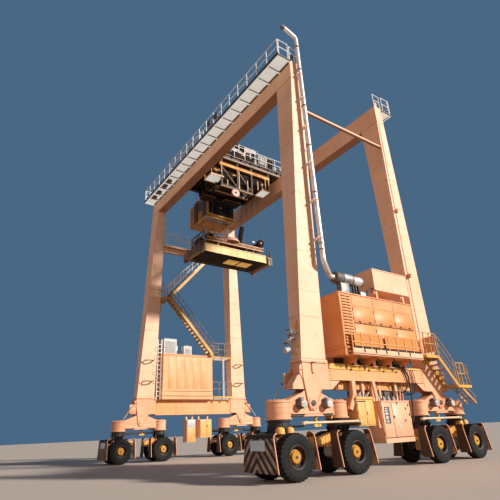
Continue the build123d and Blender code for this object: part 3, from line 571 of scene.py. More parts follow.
def beads():
    """Thin moulded rings that stand out of both sidewalls."""
    rings = []
    for across in (-1, 1):
        for radius, proud in ((0.44, 0.004), (0.585, 0.003), (0.625, 0.003)):
            base = np.interp(radius, [0.405, 0.47, 0.545, 0.61, 0.655], [0.188, 0.206, 0.215, 0.213, 0.207])
            rings.append(hollow([(across * (base - 0.01), radius - 0.006),
                (across * (base + proud), radius - 0.003), (across * (base + proud), radius + 0.003),
                (across * (base - 0.01), radius + 0.006)], sides=64))
    return joined(*rings)


one_tyre = joined(tyre(), beads())
rim_ring = joined(hollow([(0.155, 0.352), (0.19, 0.356), (0.198, 0.372), (0.19, 0.384), (0.176, 0.384),
    (0.17, 0.366), (0.15, 0.358)], sides=48),
    hollow([(0.15, 0.325), (0.16, 0.333), (0.16, 0.35), (0.146, 0.35)], sides=48))
rim_well = joined(hollow([(0.165, 0.352), (0.15, 0.338), (0.05, 0.325), (0.015, 0.305), (0.004, 0.24),
    (0.004, 0.1), (-0.02, 0.1), (-0.02, 0.26), (-0.02, 0.335), (-0.15, 0.345), (-0.165, 0.356), (-0.165, 0.362),
    (0.165, 0.362)], sides=48), bolts(ring_of(12, 0.268, (0.008, 0, 0)), 0.017, 0.026, "X"))
hub_cap = joined(lathe([(0.0, 0.232), (0.035, 0.232), (0.045, 0.225), (0.05, 0.205), (0.105, 0.2),
    (0.118, 0.188), (0.118, 0.12), (0.124, 0.115), (0.124, 0.02)], axis="X", sides=40),
    bolts(ring_of(12, 0.158, (0.118, 0, 0)), 0.013, 0.012, "X"),
    bolts(ring_of(16, 0.218, (0.047, 0, 0)), 0.009, 0.01, "X"))
hub_centre = lathe([(0.11, 0.052), (0.146, 0.05), (0.15, 0.044), (0.15, 0.02), (0.14, 0.018), (0.14, 0.004)],
    axis="X", sides=20)
for corner, (side_x, side_y) in CORNERS.items():
    for place, unit_y in unit_places.items():
        body = f"{corner}_{place}_wheel_set"
        tyres, rims, wells, hubs, centres = [], [], [], [], []
        for twin in (-1, 1):
            at = (side_x * bogie_x + twin * 0.74, side_y * unit_y, tyre_radius)
            tyres.append(moved(one_tyre, *at))
            rims += [moved(mirrored(rim_ring, twin), *at), moved(mirrored(rim_ring, -twin), *at)]
            wells.append(moved(mirrored(rim_well, twin), *at))
            hubs.append(moved(mirrored(hub_cap, twin), *at))
            centres.append(moved(mirrored(hub_centre, twin), *at))
            inner_x = side_x * bogie_x + twin * 0.4
            centres.append(lathe([(0, 0.16), (twin * 0.03, 0.18), (twin * 0.2, 0.18), (twin * 0.24, 0.22),
                (twin * 0.33, 0.22)], (inner_x, side_y * unit_y, tyre_radius), "X", 32))
        axle = drum(-0.72, 0.72, 0.06, 0.089, (side_x * bogie_x, side_y * unit_y, tyre_radius), "X", 24)
        rubber = make(f"{corner}_{place}_tyres", body, (tyres, tyre_rubber), slot="tyre_rubber", smooth=32)
        make(f"{corner}_{place}_rims", body, (rims, rim_edge), (wells, rim_dark), (hubs, hub_yellow),
            (centres, dark_paint), (axle, dark_paint), slot="yellow_paint")
        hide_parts(f"{corner}_{place}_wheels")

# ---- Axle units
# A slewing ring and fork under each drum carries the axle; sheet guards stand before and behind the
# tyres, edged with angle, and the guards at the crane's ends carry slanting warning bands.
guard_band = Finish("guard_warning_bands")
from_middle = guard_band.along("X").maths("ABSOLUTE", 0) - bogie_x
slant = (from_middle + 0.14).maths("ABSOLUTE", 0) + guard_band.along("Z") * 0.92
wave = (slant + 0.03).maths("PINGPONG", 0.17)
grime = guard_band.noise(3.5, 5)
scuff = guard_band.noise(17, 4)
stripe = guard_band.ramp(wave + scuff * 0.012, 0.088, 0.098) * (guard_band.along("Z") < 1.35)
light_band = guard_band.mix(guard_band.ramp(grime, 0.35, 0.65), (0.46, 0.31, 0.2), (0.2, 0.14, 0.09))
dark_band = guard_band.mix(guard_band.ramp(scuff, 0.5, 0.8), (0.022, 0.017, 0.013), (0.07, 0.05, 0.035))
guard_band = guard_band.feed(guard_band.mix(stripe, dark_band, light_band), 0.55 + grime * 0.3,
    height=scuff * 0.5 + stripe * 0.1, depth=0.004)
# The guard sheets that face in between the wheel sets are painted very dark brown: painted shade.
guard_shade_dark = plate_paint("guard_inner_paint", (0.065, 0.028, 0.014), (0.1, 0.048, 0.024),
    grime=(0.05, 0.03, 0.02), soil=0.8)
axle_paint = Finish("axle_unit_paint")
axle_grime = axle_paint.noise(3, 5)
axle_tone = axle_paint.mix(axle_paint.ramp(axle_grime, 0.4, 0.7), (0.74, 0.4, 0.18), (0.26, 0.14, 0.07))
# Painted shade: above about 1.4 m, under the drum and the beam, the unit turns near black.
shade_under_drum = axle_paint.ramp(axle_paint.along("Z") + axle_grime * 0.06, 1.38, 1.46)
axle_tone = axle_paint.mix(shade_under_drum, axle_tone, (0.03, 0.022, 0.018))
axle_paint = axle_paint.feed(axle_tone, 0.45 + axle_grime * 0.3, height=axle_paint.noise(60, 2), depth=0.003)
housing_orange = plate_paint("gear_housing_paint", (0.84, 0.44, 0.1), (0.74, 0.34, 0.06), soil=0.7)
sign_blank = plate_paint("blank_plate_enamel", (0.62, 0.72, 0.74), (0.52, 0.62, 0.65), soil=0.4)
rod_cream = plate_paint("tie_rod_cream", (0.78, 0.58, 0.36), (0.62, 0.42, 0.24), soil=0.8)
coat(axle_paint, *(f"{corner}_{place}_axle_unit" for corner in CORNERS for place in unit_places))
coat(rod_cream, *(f"{corner}_tie_rod" for corner in CORNERS))
guard_reach, drive_z = 0.9, 0.8


def guard_sheet(way, side=0):
    """A sheet across both tyres, or across the one on a side: up its height it stands level and then
    curls over the tyres on a quarter circle of 0.2 m; across, its outer edge goes from 0.98 m at the
    foot to 0.81 m at the top, and it has two faces 12 mm apart."""
    rise = np.array([0.3, 0.55, 0.8, 1.05, 1.25, 1.34])
    bend = np.radians([15, 30, 45, 60, 75])
    level = np.concatenate([rise, 1.34 + 0.16 * np.sin(bend)])
    inset = np.concatenate([np.zeros(6), 0.16 * (1 - np.cos(bend))])
    half = np.interp(level, [0.3, 1.34, 1.5], [0.98, 0.81, 0.8])[:, None]
    if side:
        x = side * (0.49 + (half - 0.49) * np.array([0, 0.33, 0.66, 1]))
    else:
        x = half * np.array([-1, -0.66, -0.33, 0, 0.33, 0.66, 1])
    faces = []
    for proud in (0.016, 0.028):
        y = way * (guard_reach + proud) - way * inset[:, None] + 0 * x
        faces.append(np.stack([x, y, level[:, None] + 0 * x], -1))
    loop = np.concatenate([faces[0], faces[1][:, ::-1]], 1)
    return lofted(loop)


def guard_edges(way):
    """Angle bars that follow both slanting edges of a guard sheet and its curl."""
    bend = np.radians([30, 60, 85])
    spine = [(0.98, 0.0, 0.3), (0.81, 0.0, 1.34)]
    spine += [(0.802, 0.16 * (1 - math.cos(b)), 1.34 + 0.16 * math.sin(b)) for b in bend]
    bars = [bar((side * x0, way * (guard_reach - d0), z0), (side * x1, way * (guard_reach - d1), z1), 0.03,
        0.07, up=(side, 0, 0.1)) for side in (-1, 1)
        for (x0, d0, z0), (x1, d1, z1) in zip(spine[:-1], spine[1:])]
    return joined(*bars)


for corner, (side_x, side_y) in CORNERS.items():
    for place, unit_y in unit_places.items():
        body = f"{corner}_{place}_unit"
        paint, dark, trim, grey, pale, signs, housing = [], [], [], [], [], [], []
        # Fork cheeks, their ribs and the bolted slewing ring
        paint += [collar(1.7, 1.76, 0.36, 0.425, (0, unit_y, 0), "Z", 48),
            collar(1.86, 1.915, 0.36, 0.435, (0, unit_y, 0), "Z", 48),
            bolts(ring_of(24, 0.405, (0, unit_y, 1.7), "Z"), 0.016, -0.02)]
        for side in (-1, 1):
            cheek = [(unit_y - 0.36, 1.66), (unit_y + 0.36, 1.66), (unit_y + 0.33, 1.3), (unit_y + 0.22, 0.62),
                (unit_y + 0.1, 0.5), (unit_y - 0.1, 0.5), (unit_y - 0.22, 0.62), (unit_y - 0.33, 1.3)]
            paint += [plate(cheek, 0.03, at=side * 0.235 - 0.015), collar(side * 0.25, side * 0.285, 0.1, 0.2,
                (0, unit_y, tyre_radius), "X", 32),
                bolts(ring_of(10, 0.17, (side * 0.285, unit_y, tyre_radius)), 0.012, side * 0.014, "X")]
            paint += [plate([(side * 0.25, 1.1), (side * 0.25, 1.64), (side * 0.46, 1.64), (side * 0.4, 1.56)],
                0.02, plane="XZ", at=unit_y + rib - 0.01) for rib in (-0.2, 0.0, 0.2)]
        # Guard sheets with their stays
        for way in (-1, 1):
            if place == "outer" and way == 1:
                dark.append((moved(guard_sheet(way), y=unit_y), guard_band))
                blank = [(-0.49, 0.97), (-0.49, 1.3), (0.36, 1.3), (0.36, 0.97)]
                signs.append(plate(blank, 0.012, plane="XZ", at=unit_y + 0.928))
            else:
                dark += [(moved(guard_sheet(way, side), y=unit_y), guard_shade_dark) for side in (-1, 1)]
            trim.append(moved(guard_edges(way), y=unit_y))
            for side in (-1, 1):
                paint += [bar((side * 0.2, unit_y + way * 0.28, 1.2), (side * 0.62, unit_y + way * 0.88, 1.18),
                    0.07, 0.07), bar((side * 0.66, unit_y + way * 0.872, 0.42),
                    (side * 0.66, unit_y + way * 0.872, 1.3), 0.05, 0.03)]
        # Drive motor with its flange, fins and terminal box
        motor_way = -1 if place == "outer" else 1
        grey.append(lathe([(motor_way * at, r) for at, r in ((0.29, 0.24), (0.34, 0.24), (0.34, 0.19),
            (0.66, 0.19), (0.71, 0.16), (0.71, 0.02))], (0, unit_y, drive_z), "Y", 32))
        grey += [collar(motor_way * fin, motor_way * (fin + 0.01), 0.18, 0.205, (0, unit_y, drive_z), "Y", 32)
            for fin in np.arange(0.38, 0.64, 0.035)]
        grey.append(block(-0.1, 0.1, unit_y + motor_way * 0.42, unit_y + motor_way * 0.6, 0.98, 1.07))
        pale.append(lathe([(motor_way * 0.34, 0.235), (motor_way * 0.36, 0.235), (motor_way * 0.365, 0.22),
            (motor_way * 0.365, 0.18)], (0, unit_y, drive_z), "Y", 32))
        # Sloping gear housing with ribs between the fork and past the guard on the motor side
        gear = [(0.2, 1.42), (0.34, 1.46), (1.14, 1.27), (1.18, 1.22), (1.18, 1.04), (0.44, 1.03), (0.3, 1.12)]
        housing.append(plate([(unit_y + motor_way * reach, level) for reach, level in gear], 0.34, at=-0.17,
            edge=0.03))
        for reach in np.arange(0.46, 1.16, 0.13):
            top = 1.475 - 0.235 * (reach - 0.34)
            housing.append(block(-0.195, 0.195, unit_y + motor_way * reach - 0.018,
                unit_y + motor_way * reach + 0.018, 1.02, top, edge=0.012))
        if place == "outer":
            for cap_y in (-0.22, 0.2):
                profile = [(1.44, 0.02), (1.44, 0.14), (1.47, 0.17), (1.6, 0.17), (1.66, 0.14), (1.69, 0.08),
                    (1.7, 0.01)]
                housing.append(lathe(profile, (0.3, unit_y + cap_y, 0), "Z", 24))
        pieces = [(paint, axle_paint), (trim, foot_paint), (grey, grey_paint), (pale, pale_paint),
            (housing, housing_orange)]
        if signs:
            pieces.append((signs, sign_blank))
        make(f"{corner}_{place}_axle_fittings", body, *pieces, *dark, slot="frame_paint",
            put=lambda shape: at_corner(shape, side_x, side_y))
    rod_x, ends = 0.62, []
    for toward, unit_y in zip((1, -1), unit_places.values()):
        ends += [collar(1.745, 1.835, 0.0365, 0.085, (rod_x, unit_y - rod_x, 0), "Z", 24),
            lathe([(toward * 0.09, 0.05), (toward * 0.11, 0.062), (toward * 0.2, 0.062), (toward * 0.22, 0.05)],
            (rod_x, unit_y - rod_x, 1.79), "Y", 20)]
    make(f"{corner}_rod_ends", f"{corner}_rod", (at_corner(joined(*ends), side_x, side_y), rod_cream),
        slot="rail_paint")

# ---- Leg feet and necks of the end frames
# Flanged joints bolt the legs to the feet; ears for lifting, a boxed knee on the outer side with its
# slanting stay, and a pin cap close the joint on which the bogie rocks.
def pipe(points, radius, sides=12, steps=8):
    """A round tube along a smooth line through the points: between two points the line is the cubic
    of Catmull and Rom, and each ring stands square to it, turned as little as it can be."""
    points = np.array(points, float)
    padded = np.concatenate([2 * points[:1] - points[1:2], points, 2 * points[-1:] - points[-2:-1]])
    share = np.linspace(0, 1, steps, endpoint=False)[:, None]
    path = [0.5 * (2 * b + (c - a) * share + (2 * a - 5 * b + 4 * c - d) * share ** 2
        + (3 * b - a - 3 * c + d) * share ** 3)
        for a, b, c, d in zip(padded[:-3], padded[1:-2], padded[2:-1], padded[3:])]
    path = np.concatenate(path + [points[-1:]])
    tangent = np.gradient(path, axis=0)
    tangent /= np.linalg.norm(tangent, axis=1)[:, None]
    side = np.cross(tangent[0], (0.31, 0.17, 0.93))
    sides_at = []
    for way in tangent:
        side = side - way * (side @ way)
        side /= np.linalg.norm(side)
        sides_at.append(side)
    sides_at = np.array(sides_at)
    tops = np.cross(tangent, sides_at)
    angle = np.arange(sides) * 2 * math.pi / sides
    rings = path[:, None] + radius * (np.cos(angle)[None, :, None] * sides_at[:, None]
        + np.sin(angle)[None, :, None] * tops[:, None])
    return lofted(rings)


def rod(start, end, radius, sides=12):
    """A straight round bar."""
    return pipe([start, end], radius, sides, 1)


def weld(points, radius=0.010):
    """A bead of weld metal along a line, a slim six-sided tube."""
    return pipe(points, radius, 6, 1)


cheek_out, cheek_in, pivot_z = 8.9, 8.28, 2.48
for corner, (side_x, side_y) in CORNERS.items():
    steel, dark, pale = [], [], []
    steel += [block(8.235, 8.945, 3.135, 4.505, level - 0.03, level + 0.004) for level in (4.035, 4.0)]
    edge_y = np.linspace(3.22, 4.42, 9)
    edge_x = np.linspace(8.32, 8.86, 5)
    heads = [(8.925, y, 4.1) for y in edge_y] + [(8.257, y, 4.1) for y in edge_y]
    heads += [(x, 4.485, 4.1) for x in edge_x]
    steel.append(bolts(heads, 0.02, 0.03))
    # Flanged rim of both cheek plates
    rim = [(4.46, 4.0), (4.46, 3.45), (4.38, 2.98), (4.3, 2.48), (4.19, 2.25), (3.95, 2.25), (3.84, 2.48),
        (3.56, 2.98), (3.1, 2.98)]
    steel += [bar((x, y0, z0), (x, y1, z1), 0.016, 0.085, up=(1, 0, 0))
        for (y0, z0), (y1, z1) in zip(rim[:-1], rim[1:]) for x in (8.885, 8.295)]
    steel += [collar(cheek_out, 8.925, 0.112, 0.205, (0, pivot_y, pivot_z), "X", 36),
        bolts(ring_of(10, 0.17, (8.925, pivot_y, pivot_z)), 0.015, 0.014, "X")]
    # A dark cap on the pin, and under it a dark plate that is painted shade in the opening at the neck's tip.
    dark += [lathe([(8.93, 0.108), (8.962, 0.106), (8.966, 0.09), (8.966, 0.01)], (0, pivot_y, pivot_z), "X",
        28), plate([(4.0, 2.285), (4.14, 2.285), (4.12, 2.335), (4.02, 2.335)], 0.012, at=8.905)]
    # Lifting eye and ear plate
    steel += [plate([(3.78, 3.93), (3.98, 3.93), (3.98, 3.6), (3.92, 3.55), (3.88, 3.62), (3.88, 3.8),
        (3.78, 3.84)], 0.05, at=cheek_out)]
    steel += [plate([(4.46, 3.95), (4.6, 3.8), (4.6, 3.55), (4.46, 3.35)], 0.04, at=cheek)
        for cheek in (8.86, cheek_in)]
    dark += [plate([(3.8, 3.955), (3.99, 3.955), (3.99, 3.985), (3.8, 3.985)], 0.1, at=cheek_out),
        lathe([(8.855, 0.035), (8.905, 0.035)], (0, 4.54, 3.68), "X", 16)]
    # Boxed knee over the bogie's outer drum
    knee = [(4.44, 2.99), (4.96, 2.99), (4.96, 3.14), (4.7, 3.46), (4.44, 3.62)]
    steel += [plate(knee, 0.4, at=8.47, edge=0.01),
        plate([(4.44, 2.975), (5.02, 2.975), (5.02, 2.995), (4.44, 2.995)], 0.46, at=8.44),
        block(8.3, 8.34, 4.46, 4.92, 2.99, 3.6), rod((8.22, 4.5, 3.7), (8.22, 4.96, 3.2), 0.03),
        block(8.14, 8.32, 4.44, 4.52, 3.66, 3.74)]
    pale.append(rod((8.22, 4.96, 3.2), (8.16, 5.36, 2.66), 0.024))
    dark.append(block(8.2, 8.25, 4.93, 5.0, 3.16, 3.24))
    # Weld lines down the leg's four edges and round its seams
    for level in (6.9, 9.8, 12.7, 15.6):
        share = (level - 4.1) / 14.4
        out = cheek_out + 0.22 * share
        inn = out - (0.62 + 0.6 * share)
        end = 4.46 - 0.79 * share
        gap = end - (1.28 - 0.66 * share)
        ring = [(out, end, level), (out, gap, level), (inn, gap, level), (inn, end, level), (out, end, level)]
        steel += [weld([a, b], 0.007) for a, b in zip(ring[:-1], ring[1:])]
    for x0, x1 in ((cheek_out, 9.12), (cheek_in, 7.9)):
        inset = 0.02 * np.sign(x1 - x0)
        steel += [weld([(x0 - inset, y0, 4.1), (x1 - inset, y1, 18.5)], 0.009)
            for y0, y1 in ((4.45, 3.66), (3.19, 3.06))]
    make(f"{corner}_leg_fittings", "crane_frame", (steel, foot_paint), (dark, dark_paint), (pale, pale_paint),
        slot="frame_paint", put=lambda shape: mirrored(shape, side_x, side_y))

# ---- Right sill beam
# A box beam along the travel with a yellow strip of cable tray on top, plate seams, gussets at its
# ends and bent posts under it that carry the hanging cabinets and the hoses to the bogies.
cast_orange = plate_paint("orange_box_paint", (0.8, 0.36, 0.12), (0.72, 0.29, 0.08), soil=0.6)
sill_steel, sill_yellow, sill_orange, sill_dark, sill_pale = [], [], [], [], []
for y in (-1.75, -1.26, -0.42, 1.3, 2.3):
    sill_steel += blocks((8.885, 8.897, y - 0.008, y + 0.008, 3.36, 3.78),
        (8.305, 8.895, y - 0.005, y + 0.005, 3.332, 3.345))
sill_steel += blocks((8.27, 8.93, -3.08, 3.08, 3.9, 3.925), (8.27, 8.93, -3.08, 3.08, 3.335, 3.355))
sill_yellow += blocks((8.888, 8.925, -3.05, 1.15, 3.775, 3.905), (8.7, 8.925, -2.95, 2.95, 3.925, 3.985))
for y in (-2.07, -0.96, -0.02, 0.85):
    sill_dark += [block(8.92, 8.945, y - 0.06, y + 0.06, 3.8, 3.96),
        bar((8.93, y + 0.2, 3.8), (8.93, y + 0.34, 3.76), 0.03, 0.035)]
    sill_yellow.append(block(8.925, 8.945, y + 0.3, y + 0.36, 3.8, 3.98))
sill_steel += [plate([(y, 3.36), (y + 0.62 * y_sign, 3.36), (y + 0.62 * y_sign, 2.99),
    (y + 0.5 * y_sign, 2.99)], 0.03, at=x) for y, y_sign in ((-2.45, -1), (2.45, 1)) for x in (8.86, 8.3)]
# Boxes along the web below the sill, the last one with two dark holes
sill_orange += [block(8.585, 8.66, y0, y1, 3.02, 3.27, edge=0.008)
    for y0, y1 in ((-2.4, -1.82), (-1.35, -0.41), (-0.05, 0.62))]
sill_yellow.append(block(8.585, 8.64, 0.83, 2.0, 3.04, 3.25, edge=0.008))
sill_dark += [drum(8.63, 8.66, 0.01, 0.085, (0, y, 3.13), "X", 20) for y in (1.02, 1.44)]
sill_steel.append(block(8.32, 8.63, -2.46, 2.46, 3.0, 3.025))
# A bent post, a straight one that carries on down between the cabinets, and two short ones
sill_pale += [bar((8.9, -1.82, 3.34), (8.9, -1.83, 2.74), 0.17, 0.22, up=(0, 1, 0)),
    bar((8.9, -1.83, 2.78), (8.9, -2.15, 2.2), 0.17, 0.2, up=(0, 1, 0)),
    bar((8.9, -0.56, 3.34), (8.92, -0.48, 2.7), 0.1, 0.16, up=(0, 1, 0)),
    bar((8.92, -0.5, 2.74), (9.04, -0.68, 1.5), 0.05, 0.1, up=(0, 1, 0)),
    rod((8.9, 1.17, 3.05), (8.9, 1.08, 2.56), 0.035, 12)]
sill_steel += [bar((8.66, post_y, 3.34), (8.66, post_y, 2.56), 0.12, 0.05, up=(1, 0, 0))
    for post_y in (0.1, 1.65)]
sill_dark += [pipe([(8.9, y0, 3.9), (8.97, y0, 3.8), (8.98, y0 + 0.03, 3.4), (8.93, y0 + 0.05, 3.05),
    (8.8, y0 - 0.02, 2.86), (8.62, y0 - 0.1, 2.86), (8.5, y0 - 0.04, 3.1), (8.5, y0, 3.34)], 0.017, 8, 6)
    for y0 in (2.02, 2.14, 2.26)]
sill_dark += [block(8.6, 8.93, 1.2, 1.52, 3.93, 4.12),
    pipe([(8.93, 1.5, 4.02), (8.96, 1.62, 3.95), (8.98, 1.83, 3.62), (8.97, 1.85, 3.29), (8.97, 1.84, 2.59),
    (8.96, 1.7, 1.76), (8.8, 1.66, 1.62)], 0.038, 12, 6),
    pipe([(8.93, 1.42, 4.0), (8.96, 1.56, 3.9), (8.97, 1.7, 3.6), (8.96, 1.73, 3.3), (8.9, 1.6, 3.0),
    (8.66, 1.5, 2.9)], 0.026, 10, 6)]
sill_pale.append(bolts([(8.893, y, z) for y in (-2.98, -2.9, 2.9, 2.98) for z in (3.42, 3.55, 3.68, 3.81)],
    0.016, 0.016, "X"))
make("right_sill_fittings", "crane_frame", (sill_steel, foot_paint), (sill_yellow, yellow_paint),
    (sill_orange, cast_orange), (sill_dark, hose_rubber), (sill_pale, foot_paint), slot="frame_paint")

# ---- Generator house
# A folded sheet steel housing for the diesel generator, warmer in colour than the frame: a rain lip
# round the roof, a column of air slots at the near end, hinged doors with latches, raised door panels and
# seams.
def sheet_paint(name, warm, deep, soil=0.4):
    """Paint on thin folded sheet: as on plate but smoother, with faint dents, upright rain marks and
    dust in patches."""
    paint = Finish(name)
    clouds = paint.ramp(paint.noise(0.8, 3), 0.35, 0.7)
    runs = paint.noise(1.0, 5, paint.stretched(9, 9, 0.5), 0.6)
    dents = paint.noise(1.1, 1)
    grain = paint.noise(3.2, 5)
    base = paint.mix(clouds, warm, deep)
    marks = paint.ramp(runs, 0.55, 0.8) * soil
    base = paint.mix(marks, base, (0.28, 0.14, 0.06))
    base = paint.mix(paint.ramp(grain, 0.6, 0.85) * soil * 0.8, base, (0.24, 0.15, 0.09))
    return paint.feed(base, 0.4 + grain * 0.2 + marks * 0.2, height=dents * 0.8 + paint.noise(70, 2) * 0.02,
        depth=0.01)


house_paint = sheet_paint("generator_house_paint", (0.76, 0.31, 0.095), (0.7, 0.25, 0.07))
box_paint = sheet_paint("cooler_box_paint", (0.86, 0.5, 0.3), (0.8, 0.43, 0.23))
slot_dark = Finish("air_slot_shadow")
slot_dark = slot_dark.feed(slot_dark.mix(slot_dark.noise(5, 3), (0.012, 0.008, 0.006), (0.05, 0.025, 0.012)),
    0.85)
coat(house_paint, "generator_house", "generator_platform")
coat(box_paint, "cooler_box", "hanging_cabinets")
x_out, y_near, y_far, z_low, z_high = 9.4, -2.5, 2.45, 4.56, 6.95
sheets, slots, latches, hinges = [], [], [], []
# Rain lip, corner angles and base rail
sheets += blocks((x_out - 0.02, x_out + 0.035, y_near - 0.03, y_far + 0.03, z_high - 0.055, z_high - 0.01),
    (7.63, x_out + 0.03, y_near - 0.035, y_near + 0.01, z_high - 0.055, z_high - 0.01),
    (7.63, x_out + 0.03, y_far - 0.01, y_far + 0.035, z_high - 0.055, z_high - 0.01),
    (x_out - 0.01, x_out + 0.022, y_near - 0.015, y_near + 0.05, z_low, z_high - 0.05),
    (x_out - 0.01, x_out + 0.022, y_far - 0.05, y_far + 0.015, z_low, z_high - 0.05),
    (x_out, x_out + 0.03, y_near, y_far, z_low, z_low + 0.06),
    (7.66, x_out, y_near - 0.025, y_near, z_low, z_low + 0.06))
# Door panels between seams, each a raised tray
door_edges = [-1.78, -0.42, 0.98, 2.32]
for y0, y1 in zip(door_edges[:-1], door_edges[1:]):
    sheets += [block(x_out, x_out + 0.016, y0 + 0.02, y1 - 0.02, z0, z1, edge=0.006)
        for z0, z1 in ((4.66, 5.62), (5.66, 6.38), (6.42, 6.86))]
    slots.append(block(x_out + 0.001, x_out + 0.006, y0 + 0.02, y1 - 0.02, 5.62, 5.66, edge=0.001))
    middle = (y0 + y1) / 2
    for y in (middle - 0.32, middle + 0.32):
        latches += [block(x_out + 0.014, x_out + 0.05, y - 0.05, y + 0.05, 5.7, 5.76),
            bar((x_out + 0.03, y + 0.02, 5.73), (x_out + 0.06, y + 0.02, 5.66), 0.03, 0.02)]
    latches.append(block(x_out + 0.014, x_out + 0.045, middle - 0.025, middle + 0.025, 5.665, 5.7))
    hinges += [rod((x_out + 0.02, y0 + 0.02, z - 0.06), (x_out + 0.02, y0 + 0.02, z + 0.06), 0.014, 8)
        for z in (4.85, 5.4, 5.85, 6.25)]
# Column of air slots: pairs of pressed louvres
for row in np.linspace(4.72, 6.78, 17):
    for y0, y1 in ((-2.38, -2.13), (-2.07, -1.86)):
        slots.append(block(x_out + 0.0005, x_out + 0.008, y0, y1, row - 0.034, row + 0.028, edge=0.002))
        hood = np.array([(0, row + 0.034), (0.036, row - 0.004), (0.033, row - 0.01), (0, row + 0.026)])
        sheets.append(plate([(x_out + a, z) for a, z in hood], y1 - y0 + 0.02, plane="XZ", at=y0 - 0.01,
            edge=0.001))
# Near end: a wide flat panel, and lifting eyes on the roof
sheets.append(plate([(7.8, 4.7), (9.28, 4.7), (9.28, 6.8), (7.8, 6.8)], 0.012, plane="XZ", at=y_near - 0.012,
    edge=0.006))
sheets += [collar(-0.015, 0.015, 0.03, 0.07, (x, y, 7.0), "Y", 16) for x in (7.95, 9.1) for y in (-2.3, 2.25)]
# Far side and inner side seams
sheets += [block(7.638, 7.652, y - 0.02, y + 0.02, 4.6, 6.88) for y in np.arange(-2.0, 2.3, 0.72)]
sheets += [block(7.638, 7.652, -2.44, 2.4, z - 0.012, z + 0.012) for z in (5.4, 6.2)]
make("generator_house_panels", "crane_frame", (sheets, house_paint), (slots, slot_dark), (latches, dark_paint),
    (hinges, grey_paint), slot="generator_paint")

# ---- Generator platform
# Channel and angle frame that carries the house, with stiffener brackets over the sill, drain stubs
# and two panels of orange expanded metal behind the guard rail.
mesh_orange = Finish("expanded_metal_orange")
along_y = mesh_orange.along("Y")
up_z = mesh_orange.along("Z")
strand = mesh_orange.ramp((along_y + up_z * 0.15).maths("PINGPONG", 0.045), 0.008, 0.03)
tint = mesh_orange.noise(4, 4)
mesh_orange = mesh_orange.feed(mesh_orange.mix(strand * 0.75 + 0.25 * tint, (0.42, 0.14, 0.025),
    (0.76, 0.31, 0.06)), 0.65 + tint * 0.2, height=strand, depth=0.006)
frame_bits, mesh_bits, drain_bits, stub_bits = [], [], [], []
frame_bits += blocks((9.4, 9.445, -2.53, 2.49, 4.27, 4.3), (9.4, 9.445, -2.53, 2.49, 4.53, 4.56))
for y in (-2.52, 2.45):
    frame_bits += blocks((7.62, 9.44, y, y + 0.03, 4.27, 4.3), (7.62, 9.44, y, y + 0.03, 4.53, 4.56))
frame_bits += [block(9.425, 9.44, y - 0.01, y + 0.01, 4.3, 4.53) for y in np.arange(-2.2, 2.3, 0.55)]
for y in (-1.85, -0.75, 0.35, 1.45):
    frame_bits += [plate([(8.95, 4.265), (9.42, 4.265), (9.4, 4.18), (9.2, 4.08), (8.95, 3.99)], 0.02,
        plane="XZ", at=y - 0.05 if x < 9.1 else y + 0.03) for x in (9.05, 9.25)]
    drain_bits += [block(9.58, 9.63, y - 0.16, y - 0.06, 4.2, 4.27),
        rod((9.3, y + 0.28, 4.27), (9.3, y + 0.28, 4.02), 0.02, 8)]
# Painted shade under the house: a dark sheet closes the space to the sides of the pale stubs that stand on the
# sill
gap_bits = [block(8.62, 8.64, -2.46, 2.42, 3.985, 4.262, edge=0.003)]
for y in (-1.62, -0.42, 0.66, 1.74):
    stub_bits += [bar((9.02, y, 4.27), (9.0, y + 0.03, 3.93), 0.05, 0.17, up=(0, 1, 0)),
        block(8.94, 9.06, y - 0.1, y + 0.2, 3.925, 3.955)]
for y0, y1 in ((-2.12, -0.36), (-0.17, 1.96)):
    mesh_bits.append(block(9.6, 9.608, y0, y1, 4.67, 5.13, edge=0.002))
    frame_bits += [block(9.588, 9.622, y0 - 0.02, y1 + 0.02, z, z + 0.03) for z in (4.635, 5.12)]
    frame_bits += [block(9.588, 9.622, y, y + 0.03, 4.63, 5.15) for y in (y0 - 0.02, y1 - 0.01)]
stub_bits += blocks((9.6, 9.645, -2.3, 2.3, 4.27, 4.3), (9.615, 9.64, -2.3, 2.3, 4.29, 4.53))
# Dark strips under the mesh and between the front posts: painted shade in the openings.
gap_bits.append(block(9.585, 9.595, -2.28, 2.28, 4.535, 4.63, edge=0.003))
gap_bits += [block(9.638, 9.648, y - 0.04, y + 0.04, 4.38, 4.54, edge=0.003)
    for y in (-1.62, -0.92, -0.25, 0.55, 1.35)]
make("generator_platform_trim", "crane_frame", (frame_bits, house_paint), (mesh_bits, mesh_orange),
    (drain_bits, dark_paint), (gap_bits, slot_dark), (stub_bits, box_paint), slot="generator_paint")

# ---- Cooler box, muffler and exhaust pipe
# The radiator box stands on feet over the roof; the muffler is a dark drum with a bright lagged half
# held by clamps, and its aluminised pipe climbs the leg in flanged lengths on clip brackets.
pipe_metal = Finish("aluminised_pipe")
stain = pipe_metal.noise(3, 5)
wisps = pipe_metal.noise(1.0, 4, pipe_metal.stretched(14, 14, 1.2))
pipe_tone = pipe_metal.mix(pipe_metal.ramp(stain, 0.45, 0.75), (0.78, 0.76, 0.72), (0.5, 0.45, 0.38))
pipe_tone = pipe_metal.mix(pipe_metal.ramp(wisps, 0.55, 0.8) * 0.6, pipe_tone, (0.3, 0.2, 0.13))
pipe_metal = pipe_metal.feed(pipe_tone, 0.34 + stain * 0.25, 0.65, height=wisps, depth=0.003)
dull_metal = patchy("weathered_aluminium_lagging", (0.42, 0.41, 0.4), (0.22, 0.18, 0.15), 2.4, low=0.35,
    roughness=0.4, metallic=0.6, depth=0.003)
soot = patchy("heat_darkened_steel", (0.1, 0.095, 0.09), (0.2, 0.15, 0.12), 5, metallic=0.35)
coat(soot, "muffler")
coat(pipe_metal, "exhaust_pipe")
bright, dull, sooty, clips, box_bits, black = [], [], [], [], [], []
